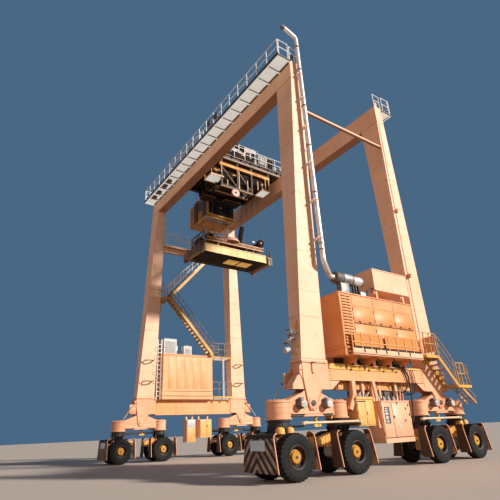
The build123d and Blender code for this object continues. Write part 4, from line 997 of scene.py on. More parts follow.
muffler_axis = (8.95, 0, 7.76)
cap = [(-2.162, 0.02), (-2.16, 0.15), (-2.145, 0.22), (-2.11, 0.262), (-2.05, 0.276), (-1.76, 0.276),
    (-1.74, 0.268)]
sooty.append(lathe(cap, muffler_axis, "Y", 40))
dull.append(lathe([(-1.75, 0.266), (-1.73, 0.273), (-1.17, 0.273), (-1.14, 0.262)], muffler_axis, "Y", 40))
bright.append(lathe([(-1.145, 0.2), (-1.12, 0.228), (-0.6, 0.228), (-0.53, 0.218), (-0.47, 0.19), (-0.44, 0.14),
    (-0.435, 0.02)], muffler_axis, "Y", 40))
for y in (-1.77, -1.16):
    sooty += [collar(y, y + 0.035, 0.27, 0.284, muffler_axis, "Y", 40),
        block(8.93, 8.97, y, y + 0.035, 8.03, 8.09)]
dull += blocks((8.81, 9.09, -1.92, -1.4, 6.97, 7.56), (8.77, 9.13, -1.96, -1.36, 6.95, 6.98))
sooty += [bar((9.1, y, 6.96), (9.06, y + 0.03, 7.58), 0.05, 0.05) for y in (-1.14, -0.98)]
black.append(block(8.8, 9.08, -0.93, -0.76, 6.96, 7.56))
bright.append(block(8.92, 9.12, -0.72, -0.36, 6.955, 7.24))


def pipe_ring(z, inner, outer, height):
    """A ring round the climbing exhaust pipe, which leans: its centre moves 150 mm back in 13.08 m."""
    centre = (9.33, -3.09 - 0.15 * (z - 8.25) / 13.08, 0)
    return collar(z, z + height, inner, outer, centre, "Z", 28)


for z in (8.74, 9.03, 11.6, 14.2, 16.6, 19.0, 20.6):
    dull += [pipe_ring(z + up, 0.108, 0.15, 0.02) for up in (0.0, 0.028)]
    sooty.append(pipe_ring(z + 0.012, 0.108, 0.143, 0.024))
for z in (9.3, 11.2, 13.2, 15.3, 17.1, 18.7):
    lean = 0.15 * (z - 8.25) / 13.08
    clips += [pipe_ring(z - 0.035, 0.116, 0.128, 0.07),
        block(9.2, 9.46, -3.24 - lean, -3.21 - lean, z - 0.035, z + 0.035)]
sooty.append(turned(collar(-4.215, -4.02, 0.1, 0.12, (9.33, 0, 21.6), "Y", 28), "X", -18, (9.33, -4.12, 21.61)))
# Box seams and bands, feet plates with gussets, and a hose beside the muffler
box_bits += [block(9.195, 9.206, y - 0.012, y + 0.012, 7.47, 8.48) for y in (0.85, 1.5, 2.12)]
box_bits += blocks((7.88, 9.225, 0.18, 2.77, 8.47, 8.515), (7.88, 9.225, 0.18, 2.77, 7.44, 7.48))
for x in (8.0, 9.1):
    for y in (0.35, 2.3):
        box_bits += [block(x - 0.1, x + 0.1, y - 0.1, y + 0.1, 6.95, 6.975),
            plate([(y - 0.05, 7.2), (y - 0.05, 7.45), (y - 0.22, 7.45)], 0.02, at=x - 0.01)]
black.append(pipe([(9.05, -0.22, 6.96), (9.05, -0.22, 7.12), (9.05, -0.18, 7.3), (9.06, -0.05, 7.38),
    (9.05, 0.12, 7.44), (9.05, 0.25, 7.56)], 0.055, 14, 8))
make("exhaust_fittings", "crane_frame", (bright, pipe_metal), (dull, dull_metal), (sooty, soot),
    (clips, foot_paint), slot="silver_pipe")
make("cooler_box_trim", "crane_frame", (box_bits, box_paint), (black, hose_rubber), slot="generator_paint")

# ---- Hanging cabinets under the right sill
# A tall yellow two-door cabinet and a wide cream one hang on posts: doors stand proud of the shell
# round dark gaps, with hinges, latches, a framed grey window, a rain lip and a base band.
cabinet_yellow = sheet_paint("cabinet_yellow_paint", (0.8, 0.42, 0.115), (0.72, 0.34, 0.08), soil=0.35)
door_paint = sheet_paint("peach_cabinet_paint", (0.82, 0.43, 0.25), (0.76, 0.37, 0.2), soil=0.35)
door_cream, door_yellow, sill_doors, gaps_dark, small_dark, window_bits, lumps = [], [], [], [], [], [], []
front = 9.05
door_yellow += blocks((8.44, front + 0.004, -1.885, -0.905, 1.596, 2.694, 0.01),
    (8.42, front + 0.04, -1.9, -0.89, 2.6, 2.7))
door_yellow += [block(front, front + 0.028, y0, y1, 1.64, 2.5, edge=0.008)
    for y0, y1 in ((-1.86, -1.42), (-1.4, -0.93))]
gaps_dark += blocks((front + 0.002, front + 0.01, -1.42, -1.4, 1.64, 2.5, 0.001), (front + 0.002, front + 0.034,
    -1.86, -1.36, 2.51, 2.545, 0.001))
door_yellow += [rod((front + 0.025, y, z - 0.05), (front + 0.025, y, z + 0.05), 0.014, 8)
    for z in (1.8, 2.1, 2.4) for y in (-1.86, -0.93)]
small_dark.append(block(front + 0.026, front + 0.05, -1.37, -1.345, 2.02, 2.14))
front = 9.15
door_cream += blocks((8.33, front + 0.035, -0.58, 1.3, 2.49, 2.545),
    (8.34, front + 0.03, -0.578, 1.298, 0.925, 1.1))
door_cream += [block(front, front + 0.03, y0, y1, 1.13, 2.46, edge=0.008)
    for y0, y1 in ((-0.54, 0.075), (0.105, 1.26))]
gaps_dark += blocks((front + 0.002, front + 0.01, 0.075, 0.105, 1.13, 2.46, 0.001),
    (front + 0.002, front + 0.01, -0.54, 1.26, 1.1, 1.13, 0.001))
door_cream += [rod((front + 0.025, y, z - 0.06), (front + 0.025, y, z + 0.06), 0.016, 8)
    for z in (1.3, 1.78, 2.26) for y in (-0.545, 1.265)]
small_dark += [block(front + 0.028, front + 0.055, y - 0.03, y + 0.03, z - 0.055, z + 0.055)
    for y, z in ((0.15, 1.9), (0.96, 2.22), (0.85, 1.75), (1.15, 2.36), (1.18, 1.98), (0.44, 2.44))]
lumps.append(block(front + 0.028, front + 0.045, 0.37, 0.52, 1.48, 1.58))
# Window: dark frame, wide on its far side, round a grey pane with bars
small_dark += [block(front + 0.026, front + 0.052, y0, y1, z0, z1)
    for y0, y1, z0, z1 in ((-0.43, -0.4, 1.66, 2.3), (-0.21, -0.12, 1.66, 2.3), (-0.43, -0.12, 1.66, 1.69),
    (-0.43, -0.12, 2.27, 2.3))]
window_bits.append(block(front + 0.026, front + 0.036, -0.4, -0.21, 1.69, 2.27, edge=0.002))
small_dark += [block(front + 0.03, front + 0.046, -0.38, -0.22, z - 0.016, z + 0.016, edge=0.002)
    for z in (1.8, 1.96, 2.1, 2.2)]
lumps += [block(8.57, 8.79, y - 0.09, y + 0.09, z - 0.01, z + 0.01) for y in (-1.7, -1.05, -0.45, 1.1)
    for z in (2.72, 3.28)]
# Valves and tubes on top of both, and a hose that leaves the yellow one
tubes = [pipe([(8.9, -1.2, 1.62), (8.98, -1.16, 1.58), (8.98, -1.02, 1.57), (8.9, -0.9, 1.58),
    (8.86, -0.84, 1.66)], 0.018, 8, 8)]
lumps += [lathe([(2.695, 0.045), (2.78, 0.045), (2.8, 0.03), (2.86, 0.03), (2.86, 0.005)], (8.8, y, 0), "Z",
    16) for y in (-1.66, -1.5, -1.34, -1.16, -1.0)]
# Dark boxes between the cabinets' tops and the sill are painted shade there, with dark rods at their ends.
for y0, y1 in ((-1.62, -1.1), (-1.0, -0.5), (-0.38, 0.3), (0.36, 1.02), (1.2, 1.62)):
    small_dark += [block(8.34, 8.56, y0, y1, 2.56, 2.98, edge=0.03),
        rod((8.6, y0 + 0.1, 2.62), (8.58, y0 + 0.12, 2.99), 0.03, 10),
        rod((8.6, y1 - 0.12, 2.6), (8.58, y1 - 0.1, 2.99), 0.022, 10)]
lumps += [bar((8.92, y, 2.74), (8.92, y + 0.14, 2.9), 0.04, 0.07, up=(1, 0, 0)) for y in (-1.58, -1.08)]
lumps += [lathe([(2.545, 0.08), (2.66, 0.08), (2.69, 0.05), (2.74, 0.045), (2.74, 0.005)], (8.8, y, 0), "Z",
    18) for y in (-0.25, 0.1, 0.42, 0.75)]
# The left pair: doors and gaps on both broad sides
for front, way in ((-8.15, 1), (-8.9, -1)):
    door_yellow += [block(front, front + 0.022 * way, y0, y1, 1.36, 2.46, edge=0.006)
        for y0, y1 in ((0.38, 0.86), (0.88, 1.27))]
    gaps_dark.append(block(front + 0.002 * way, front + 0.009 * way, 0.86, 0.88, 1.36, 2.46, edge=0.001))
    small_dark.append(block(front + 0.02 * way, front + 0.05 * way, 0.92, 0.97, 2.02, 2.18))
for front, way in ((-8.25, 1), (-8.9, -1)):
    sill_doors.append(block(front, front + 0.024 * way, -0.62, -0.01, 1.1, 2.02, edge=0.006))
    lumps.append(block(front, front + 0.016 * way, -0.62, -0.01, 2.06, 2.53, edge=0.006))
    small_dark.append(block(front + 0.02 * way, front + 0.045 * way, -0.12, -0.08, 1.5, 1.62))
make("hanging_cabinet_doors", "crane_frame", (door_cream, door_paint), (door_yellow, cabinet_yellow),
    (sill_doors, cast_orange), (gaps_dark, slot_dark), (small_dark, dark_paint), (window_bits, pale_paint),
    (lumps, pale_paint), (tubes, hose_rubber), slot="frame_paint")

# ---- Railings
# Handrails of square bar. Their paint follows the place: white along the high walkways, yellow ochre
# round the generator and its stair, brown on the left frame's landings.
rail_paint = Finish("handrail_paint")
chip = rail_paint.noise(9, 4)
white_rail = rail_paint.mix(rail_paint.ramp(chip, 0.5, 0.75), (0.62, 0.63, 0.62), (0.42, 0.36, 0.3))
ochre_rail = rail_paint.mix(rail_paint.ramp(chip, 0.45, 0.7), (0.52, 0.3, 0.08), (0.24, 0.12, 0.04))
brown_rail = rail_paint.mix(rail_paint.ramp(chip, 0.4, 0.7), (0.3, 0.17, 0.1), (0.14, 0.08, 0.05))
low_part = rail_paint.along("Z") < 14
by_mesh = (rail_paint.along("X") > 9.55) * (rail_paint.along("Y") < 2.32) * (rail_paint.along("Z") < 5.3)
ochre_rail = rail_paint.mix(by_mesh, ochre_rail, (0.72, 0.31, 0.085))
rail_tone = rail_paint.mix(low_part, white_rail,
    rail_paint.mix(rail_paint.along("X") < 0, ochre_rail, brown_rail))
rail_paint = rail_paint.feed(rail_tone, 0.5 + chip * 0.25, height=chip, depth=0.002)
coat(rail_paint, "railings")

# ---- Access stair at the far right
# Two landings of grating joined by a flight and a sloping ladder: bright worn treads between yellow
# strings, kick plates, and slanting handrails of round tube on posts.
stair_yellow = plate_paint("stair_yellow_paint", (0.74, 0.4, 0.05), (0.52, 0.24, 0.035),
    grime=(0.12, 0.07, 0.035), soil=1.0)
worn_metal = Finish("worn_tread_metal")
wear = worn_metal.noise(6, 5)
holes = (worn_metal.along("X") + worn_metal.along("Y")).maths("PINGPONG", 0.03)
worn_metal = worn_metal.feed(worn_metal.mix(worn_metal.ramp(wear, 0.4, 0.7), (0.55, 0.54, 0.52),
    (0.3, 0.22, 0.15)), 0.38 + wear * 0.3, 0.5, height=worn_metal.ramp(holes, 0.006, 0.012), depth=0.004)
coat(stair_yellow, "access_stair")
stairs, treads, rails = [], [], []
stair_in, stair_out = 8.96, 9.65


def guard_rail(points, spacing, height):
    """Posts, a top rail, a knee rail and a kick plate that follow a line of deck points."""
    radius = 0.019
    parts = []
    for start, end in zip(points[:-1], points[1:]):
        start, end = np.array(start, float), np.array(end, float)
        bays = max(1, round(np.linalg.norm(end - start) / spacing))
        for share in np.linspace(0, 1, bays + 1):
            foot = start + (end - start) * share
            parts.append(rod(foot, foot + (0, 0, height), radius, 8))
        parts += [rod(start + (0, 0, level), end + (0, 0, level), radius, 8)
            for level in (height, height * 0.52)]
        parts.append(bar(start + (0, 0, 0.08), end + (0, 0, 0.08), 0.008, 0.1))
    return joined(*parts)


def tread_row(y0, z0, y1, z1, x0, x1, count, depth=0.24):
    """Treads spaced evenly up a line, each a tray with turned-down edges."""
    thickness = 0.012
    parts = []
    for share in (np.arange(count) + 0.5) / count:
        y, z = y0 + (y1 - y0) * share, z0 + (z1 - z0) * share
        parts.append(block(x0, x1, y - depth / 2, y + depth / 2, z + 0.016, z + 0.016 + thickness, edge=0.003))
        parts += [block(x0, x1, y + side * depth / 2 - 0.006, y + side * depth / 2 + 0.006, z - 0.03, z + 0.026,
            edge=0.003) for side in (-1, 1)]
    return joined(*parts)


treads.append(tread_row(4.7, 3.18, 3.5, 4.48, stair_in + 0.03, stair_out - 0.03, 6))
for y0, y1, z in ((2.56, 3.56, 4.502), (4.63, 5.79, 3.202)):
    treads.append(block(stair_in + 0.02, stair_out - 0.02, y0, y1, z, z + 0.008, edge=0.003))
    stairs += [block(x, x + 0.035, y0, y1, z - 0.1, z + 0.03) for x in (stair_in - 0.01, stair_out - 0.025)]
    stairs += [block(stair_in, stair_out, y - 0.015, y + 0.015, z - 0.1, z + 0.02) for y in (y0, y1)]
treads.append(tread_row(4.95, 3.16, 5.98, 2.4, 9.14, 9.57, 5, depth=0.1))
# Three slanting tubes on the outer side of the flight, two on the inner one, with end posts
for x, heights in ((9.635, (0.4, 0.79, 1.18)), (8.985, (0.6, 1.1))):
    rails += [rod((x, 3.58, 4.39 + height), (x, 4.66, 3.22 + height), 0.021, 8) for height in heights]
    rails += [rod((x, 3.6, 4.42), (x, 3.6, 4.37 + heights[-1]), 0.021, 8),
        rod((x, 4.64, 3.22), (x, 4.64, 3.24 + heights[-1]), 0.021, 8)]
rails.append(rod((9.635, 5.42, 4.26), (9.635, 5.76, 3.26), 0.021, 8))
rails += [rod((x, 5.74, 3.2), (x, 5.74, 4.22), 0.021, 8) for x in (9.2, 9.6)]
rails += [rod((9.2, 5.74, z), (9.6, 5.74, z), 0.019, 8) for z in (3.72, 4.2)]
for x in (9.6, 9.14):
    rails.append(rod((x, 4.9, 3.55), (x, 6.0, 2.72), 0.019, 8))
    rails += [rod((x, y, z), (x, y + 0.02, z + 0.3), 0.016, 8) for y, z in ((5.3, 2.92), (5.92, 2.46))]
sheets_pale = block(9.02, 9.6, 3.395, 3.41, 4.72, 5.46)
stairs += [bar((8.93, 3.0, 4.4), (9.6, 3.0, 4.43), 0.08, 0.1),
    bar((8.96, 4.55, 3.9), (8.96, 4.55, 3.2), 0.05, 0.05)]
make("access_stair_treads", "crane_frame", (stairs, stair_yellow), (treads, worn_metal), (rails, rail_paint),
    (sheets_pale, foot_paint), slot="yellow_paint")

# ---- Electrical house and its air units
# The switchgear house is a smooth cream box with folded seams low down, a dark foot gap, doors and a
# rain lip; on its roof stand white air units with louvred grilles and a rounded cap.
unit_white = plate_paint("air_unit_enamel", (0.72, 0.72, 0.7), (0.55, 0.52, 0.48), soil=0.6)
panel_paint = sheet_paint("electrical_house_paint", (0.83, 0.4, 0.17), (0.78, 0.34, 0.13), soil=0.35)
coat(panel_paint, "electrical_house")
coat(unit_white, "roof_air_units")
walls, seams, lids, grilles = [], [], [], []
x_in = -7.9
walls += [block(x_in - 0.002, x_in + 0.014, y - 0.29, y + 0.29, 4.62, 6.86, edge=0.006)
    for y in np.arange(-2.1, 1.2, 0.66)]
for z in (4.18, 4.5, 6.95):
    walls += blocks((x_in - 0.01, x_in + 0.024, -2.82, 1.27, z - 0.02, z + 0.02),
        (-9.67, x_in + 0.02, -2.824, -2.8, z - 0.02, z + 0.02))
walls.append(block(-9.7, x_in + 0.04, -2.85, 1.3, 7.03, 7.085))
walls += [block(x_in - 0.01, x_in + 0.02, y, y + 0.05, 3.95, 7.05) for y in (-2.78, 1.21)]
seams += blocks((x_in - 0.002, x_in + 0.004, -2.78, 1.22, 4.12, 4.15, 0.001),
    (x_in - 0.002, x_in + 0.004, -2.78, 1.22, 4.45, 4.475, 0.001))
for x in (-9.2, -8.35):
    walls.append(block(x - 0.38, x + 0.38, -2.83, -2.8, 4.62, 6.84, edge=0.008))
    seams.append(block(x - 0.3, x - 0.27, -2.85, -2.825, 5.6, 5.8))
for x0, x1, y0, y1, top in ((-8.8, -8.05, -2.7, -1.7, 8.2), (-8.5, -8.05, -1.1, -0.45, 7.75),
        (-9.5, -8.95, -2.6, -1.2, 7.9)):
    for z in np.arange(7.18, top - 0.14, 0.075):
        grilles += [bar((x1 + 0.006, y0 + 0.08, z), (x1 + 0.006, y1 - 0.08, z), 0.05, 0.01, up=(0.6, 0, 0.8)),
            bar((x0 + 0.08, y0 - 0.006, z), (x1 - 0.08, y0 - 0.006, z), 0.05, 0.01, up=(0, 0.6, 0.8))]
    lids += [block(x0 - 0.02, x1 + 0.02, y0 - 0.02, y1 + 0.02, top - 0.06, top - 0.005),
        lathe([(top - 0.01, 0.22), (top + 0.02, 0.22), (top + 0.045, 0.18), (top + 0.05, 0.02)],
        ((x0 + x1) / 2, (y0 + y1) / 2, 0), "Z", 28),
        block(x0 - 0.03, x1 + 0.03, y0 - 0.03, y1 + 0.03, 7.08, 7.13)]
make("electrical_house_panels", "crane_frame", (walls, panel_paint), (seams, slot_dark), (lids, unit_white),
    (grilles, grey_paint), slot="generator_paint")

# ---- Landings, ladder and stairs of the left frame
# Landings of grating beside the house, an upright ladder and the zigzag stair up the inner side, with
# worn bright treads, knee rails and slanting handrails on both strings.
grating = Finish("open_grating")
across, along = (grating.along(axis).maths("PINGPONG", 0.05) for axis in "XY")
bars_seen = grating.ramp(across.maths("MINIMUM", along), 0.01, 0.016)
soilt = grating.noise(2.2, 4)
# Painted light: the holes are pale and the grating glows faintly, like sky seen through it; dirt in patches.
light_through = grating.mix(grating.ramp(soilt, 0.35, 0.75), (0.8, 0.79, 0.74), (0.56, 0.52, 0.46))
grating = grating.feed(grating.mix(bars_seen, (0.2, 0.18, 0.16), light_through), 0.6 + soilt * 0.2,
    height=bars_seen, depth=0.006, Emission_Strength=0.55, Emission_Color=(0.85, 0.83, 0.76, 1))
coat(grating, "girder_walkways", "left_platforms")
coat(stair_yellow, "zigzag_stair")
flights, steps_bits, hand = [], [], []
# The lower flight climbs towards the near side from the roof, the upper one back to the bridge
steps_bits += [tread_row(1.15, 7.18, -2.45, 11.19, -8.25, -7.67, 17),
    tread_row(-2.45, 11.23, 1.3, 15.4, -8.93, -8.35, 18)]
hand += [guard_rail([(x, 1.15, 7.26), (x, -2.45, 11.27)], spacing=0.85, height=1.0) for x in (-8.265, -7.655)]
hand += [guard_rail([(x, -2.45, 11.31), (x, 1.3, 15.48)], spacing=0.85, height=1.0) for x in (-8.945, -8.335)]
flights += [block(x - 0.02, x + 0.02, -3.06, -2.4, 11.1, 11.27) for x in (-8.96, -7.64)]
flights += [block(-8.96, -7.64, -3.08, -3.04, 11.1, 11.27),
    bar((-8.3, -3.0, 11.19), (-8.3, -3.06, 9.9), 0.08, 0.08)]
# Landings: edge channels, knee braces and the ladder's hoops
for z in (4.06, 7.02):
    flights += blocks((-7.965, -7.935, 1.25, 3.06, z - 0.05, z + 0.075),
        (-9.21, -7.94, 3.05, 3.075, z - 0.05, z + 0.075))
    flights += [bar((-8.3, y, z - 0.36), (-7.98, y, z - 0.04), 0.05, 0.05) for y in (1.45, 2.15, 2.85)]
for z in np.arange(5.3, 8.0, 0.55):
    angle = np.linspace(0, math.pi, 9)
    hoop = np.stack([-8.15 + 0.42 * np.sin(angle), -2.975 - 0.3 * np.cos(angle), np.full(9, z)], -1)
    hand.append(pipe(hoop, 0.013, 6, 2))
make("left_frame_stairs", "crane_frame", (flights, stair_yellow), (steps_bits, worn_metal), (hand, rail_paint),
    slot="yellow_paint")

# ---- Lamps, hooks and small gear on the legs
# Floodlights with finned backs and glass fronts, a white spot lamp and small yellow boxes on the near
# leg, raised tips on the open cable hooks of the left legs, and a conduit held by brackets.
glass = Finish("lamp_glass")
glass = glass.feed(glass.mix(glass.noise(30, 2), (0.55, 0.58, 0.6), (0.3, 0.34, 0.38)), 0.12, Coat_Weight=0.6)
coat(dark_paint, "floodlights", "cable_hooks")
housings, lenses, whites, golds, conduits, brackets = [], [], [], [], [], []
housings.append(block(8.63, 8.85, -4.9, -4.66, 4.985, 5.195, edge=0.02))
housings += [block(fin - 0.006, fin + 0.006, -4.9, -4.64, 5.19, 5.225, edge=0.002)
    for fin in np.linspace(8.65, 8.83, 7)]
lenses.append(block(8.66, 8.82, -4.908, -4.89, 5.0, 5.17, edge=0.004))
housings.append(bar((8.74, -4.68, 5.1), (8.74, -4.42, 5.12), 0.05, 0.04))
tilted = [block(8.35, 8.63, -4.82, -4.73, 4.68, 4.96, edge=0.015),
    block(8.38, 8.6, -4.73, -4.66, 4.72, 4.92, edge=0.02)]
housings.append(turned(joined(*tilted), "X", -28, (8.49, -4.75, 4.82)))
lenses.append(turned(block(8.375, 8.605, -4.832, -4.818, 4.7, 4.94, edge=0.004), "X", -28, (8.49, -4.75, 4.82)))
whites += [pipe([(x, -4.76, 4.82), (x, -4.66, 4.92), (x, -4.5, 4.92), (8.49, -4.42, 4.86)], 0.018, 10)
    for x in (8.335, 8.645)]
spot = lathe([(-4.9, 0.02), (-4.89, 0.105), (-4.905, 0.12), (-4.88, 0.125), (-4.78, 0.1), (-4.66, 0.08),
    (-4.62, 0.05), (-4.61, 0.01)], (8.47, 0, 4.48), "Y", 28)
whites += [turned(spot, "X", 20, (8.47, -4.75, 4.48)),
    pipe([(8.47, -4.7, 4.46), (8.47, -4.58, 4.36), (8.5, -4.42, 4.38)], 0.02, 10)]
lamp_heads = make("floodlight_heads", "crane_frame", (housings, dark_paint), (lenses, glass),
    (whites, pale_paint), slot="dark_steel")
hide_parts("floodlights")
golds += [block(8.64, 8.8, -4.47, -4.38, 5.3, 5.46, edge=0.03),
    rod((8.72, -4.44, 5.44), (8.72, -4.42, 5.62), 0.025), block(8.56, 8.7, -4.48, -4.4, 4.26, 4.38, edge=0.03),
    lathe([(-4.49, 0.01), (-4.49, 0.045), (-4.41, 0.05), (-4.4, 0.01)], (8.72, 0, 4.6), "Y", 16)]
# Raised tips at the ends of the open cable hooks on the left legs
brackets += [bar((-7.97, side_y * 3.8 + end_y, z), (-7.94, side_y * 3.8 + end_y * 1.06, z + 0.14), 0.05, 0.05)
    for z in (5.08, 6.5) for side_y in (-1, 1) for end_y in (-0.33, 0.33)]
conduits.append(rod((8.925, 3.42, 4.2), (9.145, 3.16, 18.4), 0.014, 8))
for z in (8.6, 12.4):
    brackets += blocks((8.98, 9.2, 3.26, 3.3, z, z + 0.2), (9.16, 9.2, 3.16, 3.4, z + 0.12, z + 0.2))
    brackets += [drum(9.02, 9.12, 0.01, 0.06, (0, 3.36, z + 0.04), "X", 16)]
make("leg_gear", "crane_frame", (golds, yellow_paint), (conduits, foot_paint), (brackets, foot_paint),
    slot="dark_steel")

# ---- Girders, walkways and rails
# Box girders with narrow flanges and a joint plate at each leg; the grating walkways lie in a dark
# frame on brackets, with lamps hung below and a toe plate along; crane rail sits on clips.
rail_y = 3.36
flanges, frames, lamps, clips = [], [], [], []
for side_y in (-1, 1):
    flanges += [bar((-9.11, side_y * y, z), (9.11, side_y * y, z), 0.02, 0.03) for z in (18.515, 19.7)
        for y in (3.675, 3.045)]
    for x in (-7.75, 7.75):
        for y in (3.672, 3.048):
            flanges.append(block(x - 0.18, x + 0.18, side_y * y - 0.008, side_y * y + 0.008, 18.62, 19.6))
            heads = [(x + dx, side_y * y, 18.72 + 0.2 * k) for dx in (-0.12, -0.04, 0.04, 0.12)
                for k in range(5)]
            flanges.append(bolts(heads, 0.014, side_y * (0.016 if y > 3.3 else -0.016), "Y"))
    # Walkway frame below the grating
    frames += [block(x - 0.055, x + 0.055, side_y * 3.66, side_y * 4.53, 19.485, 19.555)
        for x in np.linspace(-8.9, 9.2, 20)]
    frames += [block(-8.92, 9.22, side_y * y - 0.045, side_y * y + 0.045, 19.49, 19.555) for y in (3.7, 4.49)]
    frames.append(block(-8.93, 9.23, side_y * 4.52 - 0.006, side_y * 4.52 + 0.006, 19.56, 19.72))
    for x in (-7.4, -6.5, -5.4, -4.6):
        lamps += [block(x - 0.22, x + 0.22, side_y * 4.28 - 0.16, side_y * 4.28 + 0.16, 19.28, 19.44),
            bar((x, side_y * 4.28, 19.44), (x, side_y * 4.28, 19.52), 0.05, 0.05)]
    for x in (2.2, 3.0):
        lamps += [block(x - 0.2, x + 0.2, side_y * 4.6 - 0.1, side_y * 4.6 + 0.06, 19.8, 20.1),
            bar((x, side_y * 4.52, 19.7), (x, side_y * 4.58, 19.84), 0.04, 0.04)]
    # Rail clips
    places = [(x, side_y * rail_y + s * 0.06, 19.72) for x in np.arange(-8.9, 9.0, 0.45) for s in (-1, 1)]
    clips.append(repeated(block(-0.03, 0.03, -0.025, 0.025, 0.0, 0.022), *places))
# Edge channels of the bridge between the left legs
flanges += [bar((x, -3.05, 15.46), (x, 3.05, 15.46), 0.02, 0.02) for x in (-8.295, -7.645)]
make("girder_fittings", "crane_frame", (flanges, girder_paint), (frames, dark_paint), (lamps, dark_paint),
    (clips, dark_paint), slot="frame_paint")
rail_steel = patchy("crane_rail_steel", (0.18, 0.13, 0.1), (0.32, 0.28, 0.25), 8, 4, roughness=0.35,
    metallic=0.6, depth=0.002)
coat(rail_steel, "trolley_rails")

# ---- Trolley underframe and deck
# The trolley's beams are rust-orange over painted shade beneath them, near black with oil in patches,
# crowded with gear cases, rope guides and cable trays; a service frame with a grating shelf hangs on the
# load side and holds a round plate.
under_paint = Finish("sooty_underframe_paint")
oil = under_paint.noise(2.6, 5)
height_up = under_paint.along("Z")
underside_shade_tone = under_paint.mix(under_paint.ramp(oil, 0.35, 0.7), (0.02, 0.013, 0.009), (0.07, 0.034, 0.016))
orange_tone = under_paint.mix(under_paint.ramp(oil, 0.4, 0.72), (0.8, 0.38, 0.045), (0.4, 0.16, 0.03))
# Painted shade: all the frame but one band on the load side is near black, as under the deck.
is_high = 1 - (height_up > 19.24) * (height_up < 19.56) * (under_paint.along("X") > -1.7)
is_deck = under_paint.ramp(height_up, 20.27, 20.29)
under_paint = under_paint.feed(under_paint.mix(is_deck, under_paint.mix(is_high, orange_tone, underside_shade_tone),
    (0.1, 0.065, 0.045)), 0.5 + oil * 0.3, height=oil, depth=0.006)
gear_dark = plate_paint("gear_case_paint", (0.03, 0.024, 0.02), (0.07, 0.044, 0.026), grime=(0.13, 0.065, 0.03),
    soil=0.8)
# Near black for greasy gear, used also as painted shade on the undersides of the trolley and the spreader.
shade_and_grease_black = patchy("sooty_grease_black", (0.014, 0.011, 0.009), (0.04, 0.024, 0.015), 5, 4, roughness=0.85,
    dulled=0, Specular_IOR_Level=0.12)
beam_orange = plate_paint("beam_rust_orange", (0.74, 0.33, 0.05), (0.52, 0.2, 0.03), grime=(0.12, 0.05, 0.02),
    soil=1.2)
browned_beam = plate_paint("browned_beam_paint", (0.22, 0.1, 0.035), (0.1, 0.05, 0.02), soil=0.9)
worn_ochre = plate_paint("worn_ochre_paint", (0.7, 0.4, 0.12), (0.42, 0.22, 0.06), grime=(0.1, 0.05, 0.02),
    soil=1.2)
faded_pink = plate_paint("faded_pink_plate", (0.7, 0.4, 0.3), (0.54, 0.29, 0.21), soil=0.8)
coat(under_paint, "trolley_frame")
trolley_x, sheave_x, sheave_y = -3.15, 0.78, 2.05
orange, browned, black_gear, pale_bits, shelf, ropes_and_hoses, disc = [], [], [], [], [], [], []
black_gear += [plate([(x - 0.14, 19.89), (x - 0.28, 20.28), (x + 0.28, 20.28), (x + 0.14, 19.89)], 0.012,
    plane="XZ", at=y) for x in (trolley_x - 2.5, trolley_x - 1.25, trolley_x + 1.25, trolley_x + 2.5)
    for y in np.arange(-2.9, 3.0, 0.83)]
# Edge beam along the load side with stiffeners, and the service frame's flanges
browned += blocks((trolley_x + 2.62, trolley_x + 2.7, -3.2, 3.2, 19.86, 20.02),
    (trolley_x + 2.6, trolley_x + 2.72, -3.3, 3.3, 20.24, 20.3))
black_gear += [block(trolley_x + 2.64, trolley_x + 2.675, y - 0.02, y + 0.02, 19.92, 20.26)
    for y in np.arange(-3.0, 3.1, 0.6)]
for x in (trolley_x + 1.75, trolley_x + 2.55):
    orange += [block(x - 0.1, x + 0.1, -2.22, 2.22, z - 0.012, z + 0.012) for z in (19.3, 19.52)]
    browned += [bar((x, y0, 19.25), (x, y1, 17.78), 0.05, 0.05) for y0, y1 in ((-2.05, -0.7), (-0.7, 0.54))]
    pale_bits.append(block(x - 0.075, x + 0.075, -2.14, 0.64, 17.57, 17.6))
pale_bits += [block(-0.545, -0.505, y - 0.032, y + 0.032, z0, z1)
    for y, z0, z1 in ((-2.09, 18.66, 19.3), (-1.6, 17.7, 18.15), (-0.6, 17.7, 19.2), (0.13, 17.74, 18.62),
    (1.06, 18.12, 18.84), (1.78, 18.4, 19.3), (2.12, 18.3, 19.3))]
# Dark gear that fills the frame's bays
for y0, y1, z0, z1 in ((-1.95, -1.0, 18.2, 19.1), (-0.5, 0.45, 18.3, 19.2), (0.65, 1.55, 18.6, 19.2),
        (-1.9, -0.2, 17.75, 18.05)):
    black_gear.append(block(-1.35, -0.72, y0, y1, z0, z1, edge=0.04))
    black_gear += [block(-0.73, -0.69, y - 0.02, y + 0.02, z0 + 0.06, z1 - 0.06)
        for y in np.arange(y0 + 0.1, y1, 0.22)]
shelf += blocks((-1.5, -0.62, -2.95, -1.95, 18.28, 18.32, 0.004), (-1.45, -0.5, 1.45, 2.2, 18.26, 18.3, 0.004))
for y0, y1 in ((-2.97, -1.93), (1.43, 2.22)):
    pale_bits += [block(x - 0.02, x + 0.02, y0, y1, 18.22, 18.34) for x in (-1.52, -0.5)]
    pale_bits += [block(-1.52, -0.5, y - 0.02, y + 0.02, 18.22, 18.34) for y in (y0, y1)]
pale_bits += [rod((x, -2.9, 18.3), (x, -2.9, 19.9), 0.025, 8) for x in (-1.5, -0.54)]
# Round plate with a bolted ring
disc_centre = (0, -0.98, 17.24)
disc.append(lathe([(-0.56, 0.305), (-0.44, 0.305), (-0.435, 0.29), (-0.435, 0.02)], disc_centre, "X", 36))
black_gear += [lathe([(-0.434, 0.075), (-0.4, 0.07), (-0.4, 0.02)], disc_centre, "X", 18),
    bolts(ring_of(8, 0.24, (-0.433, *disc_centre[1:])), 0.014, 0.014, "X")]
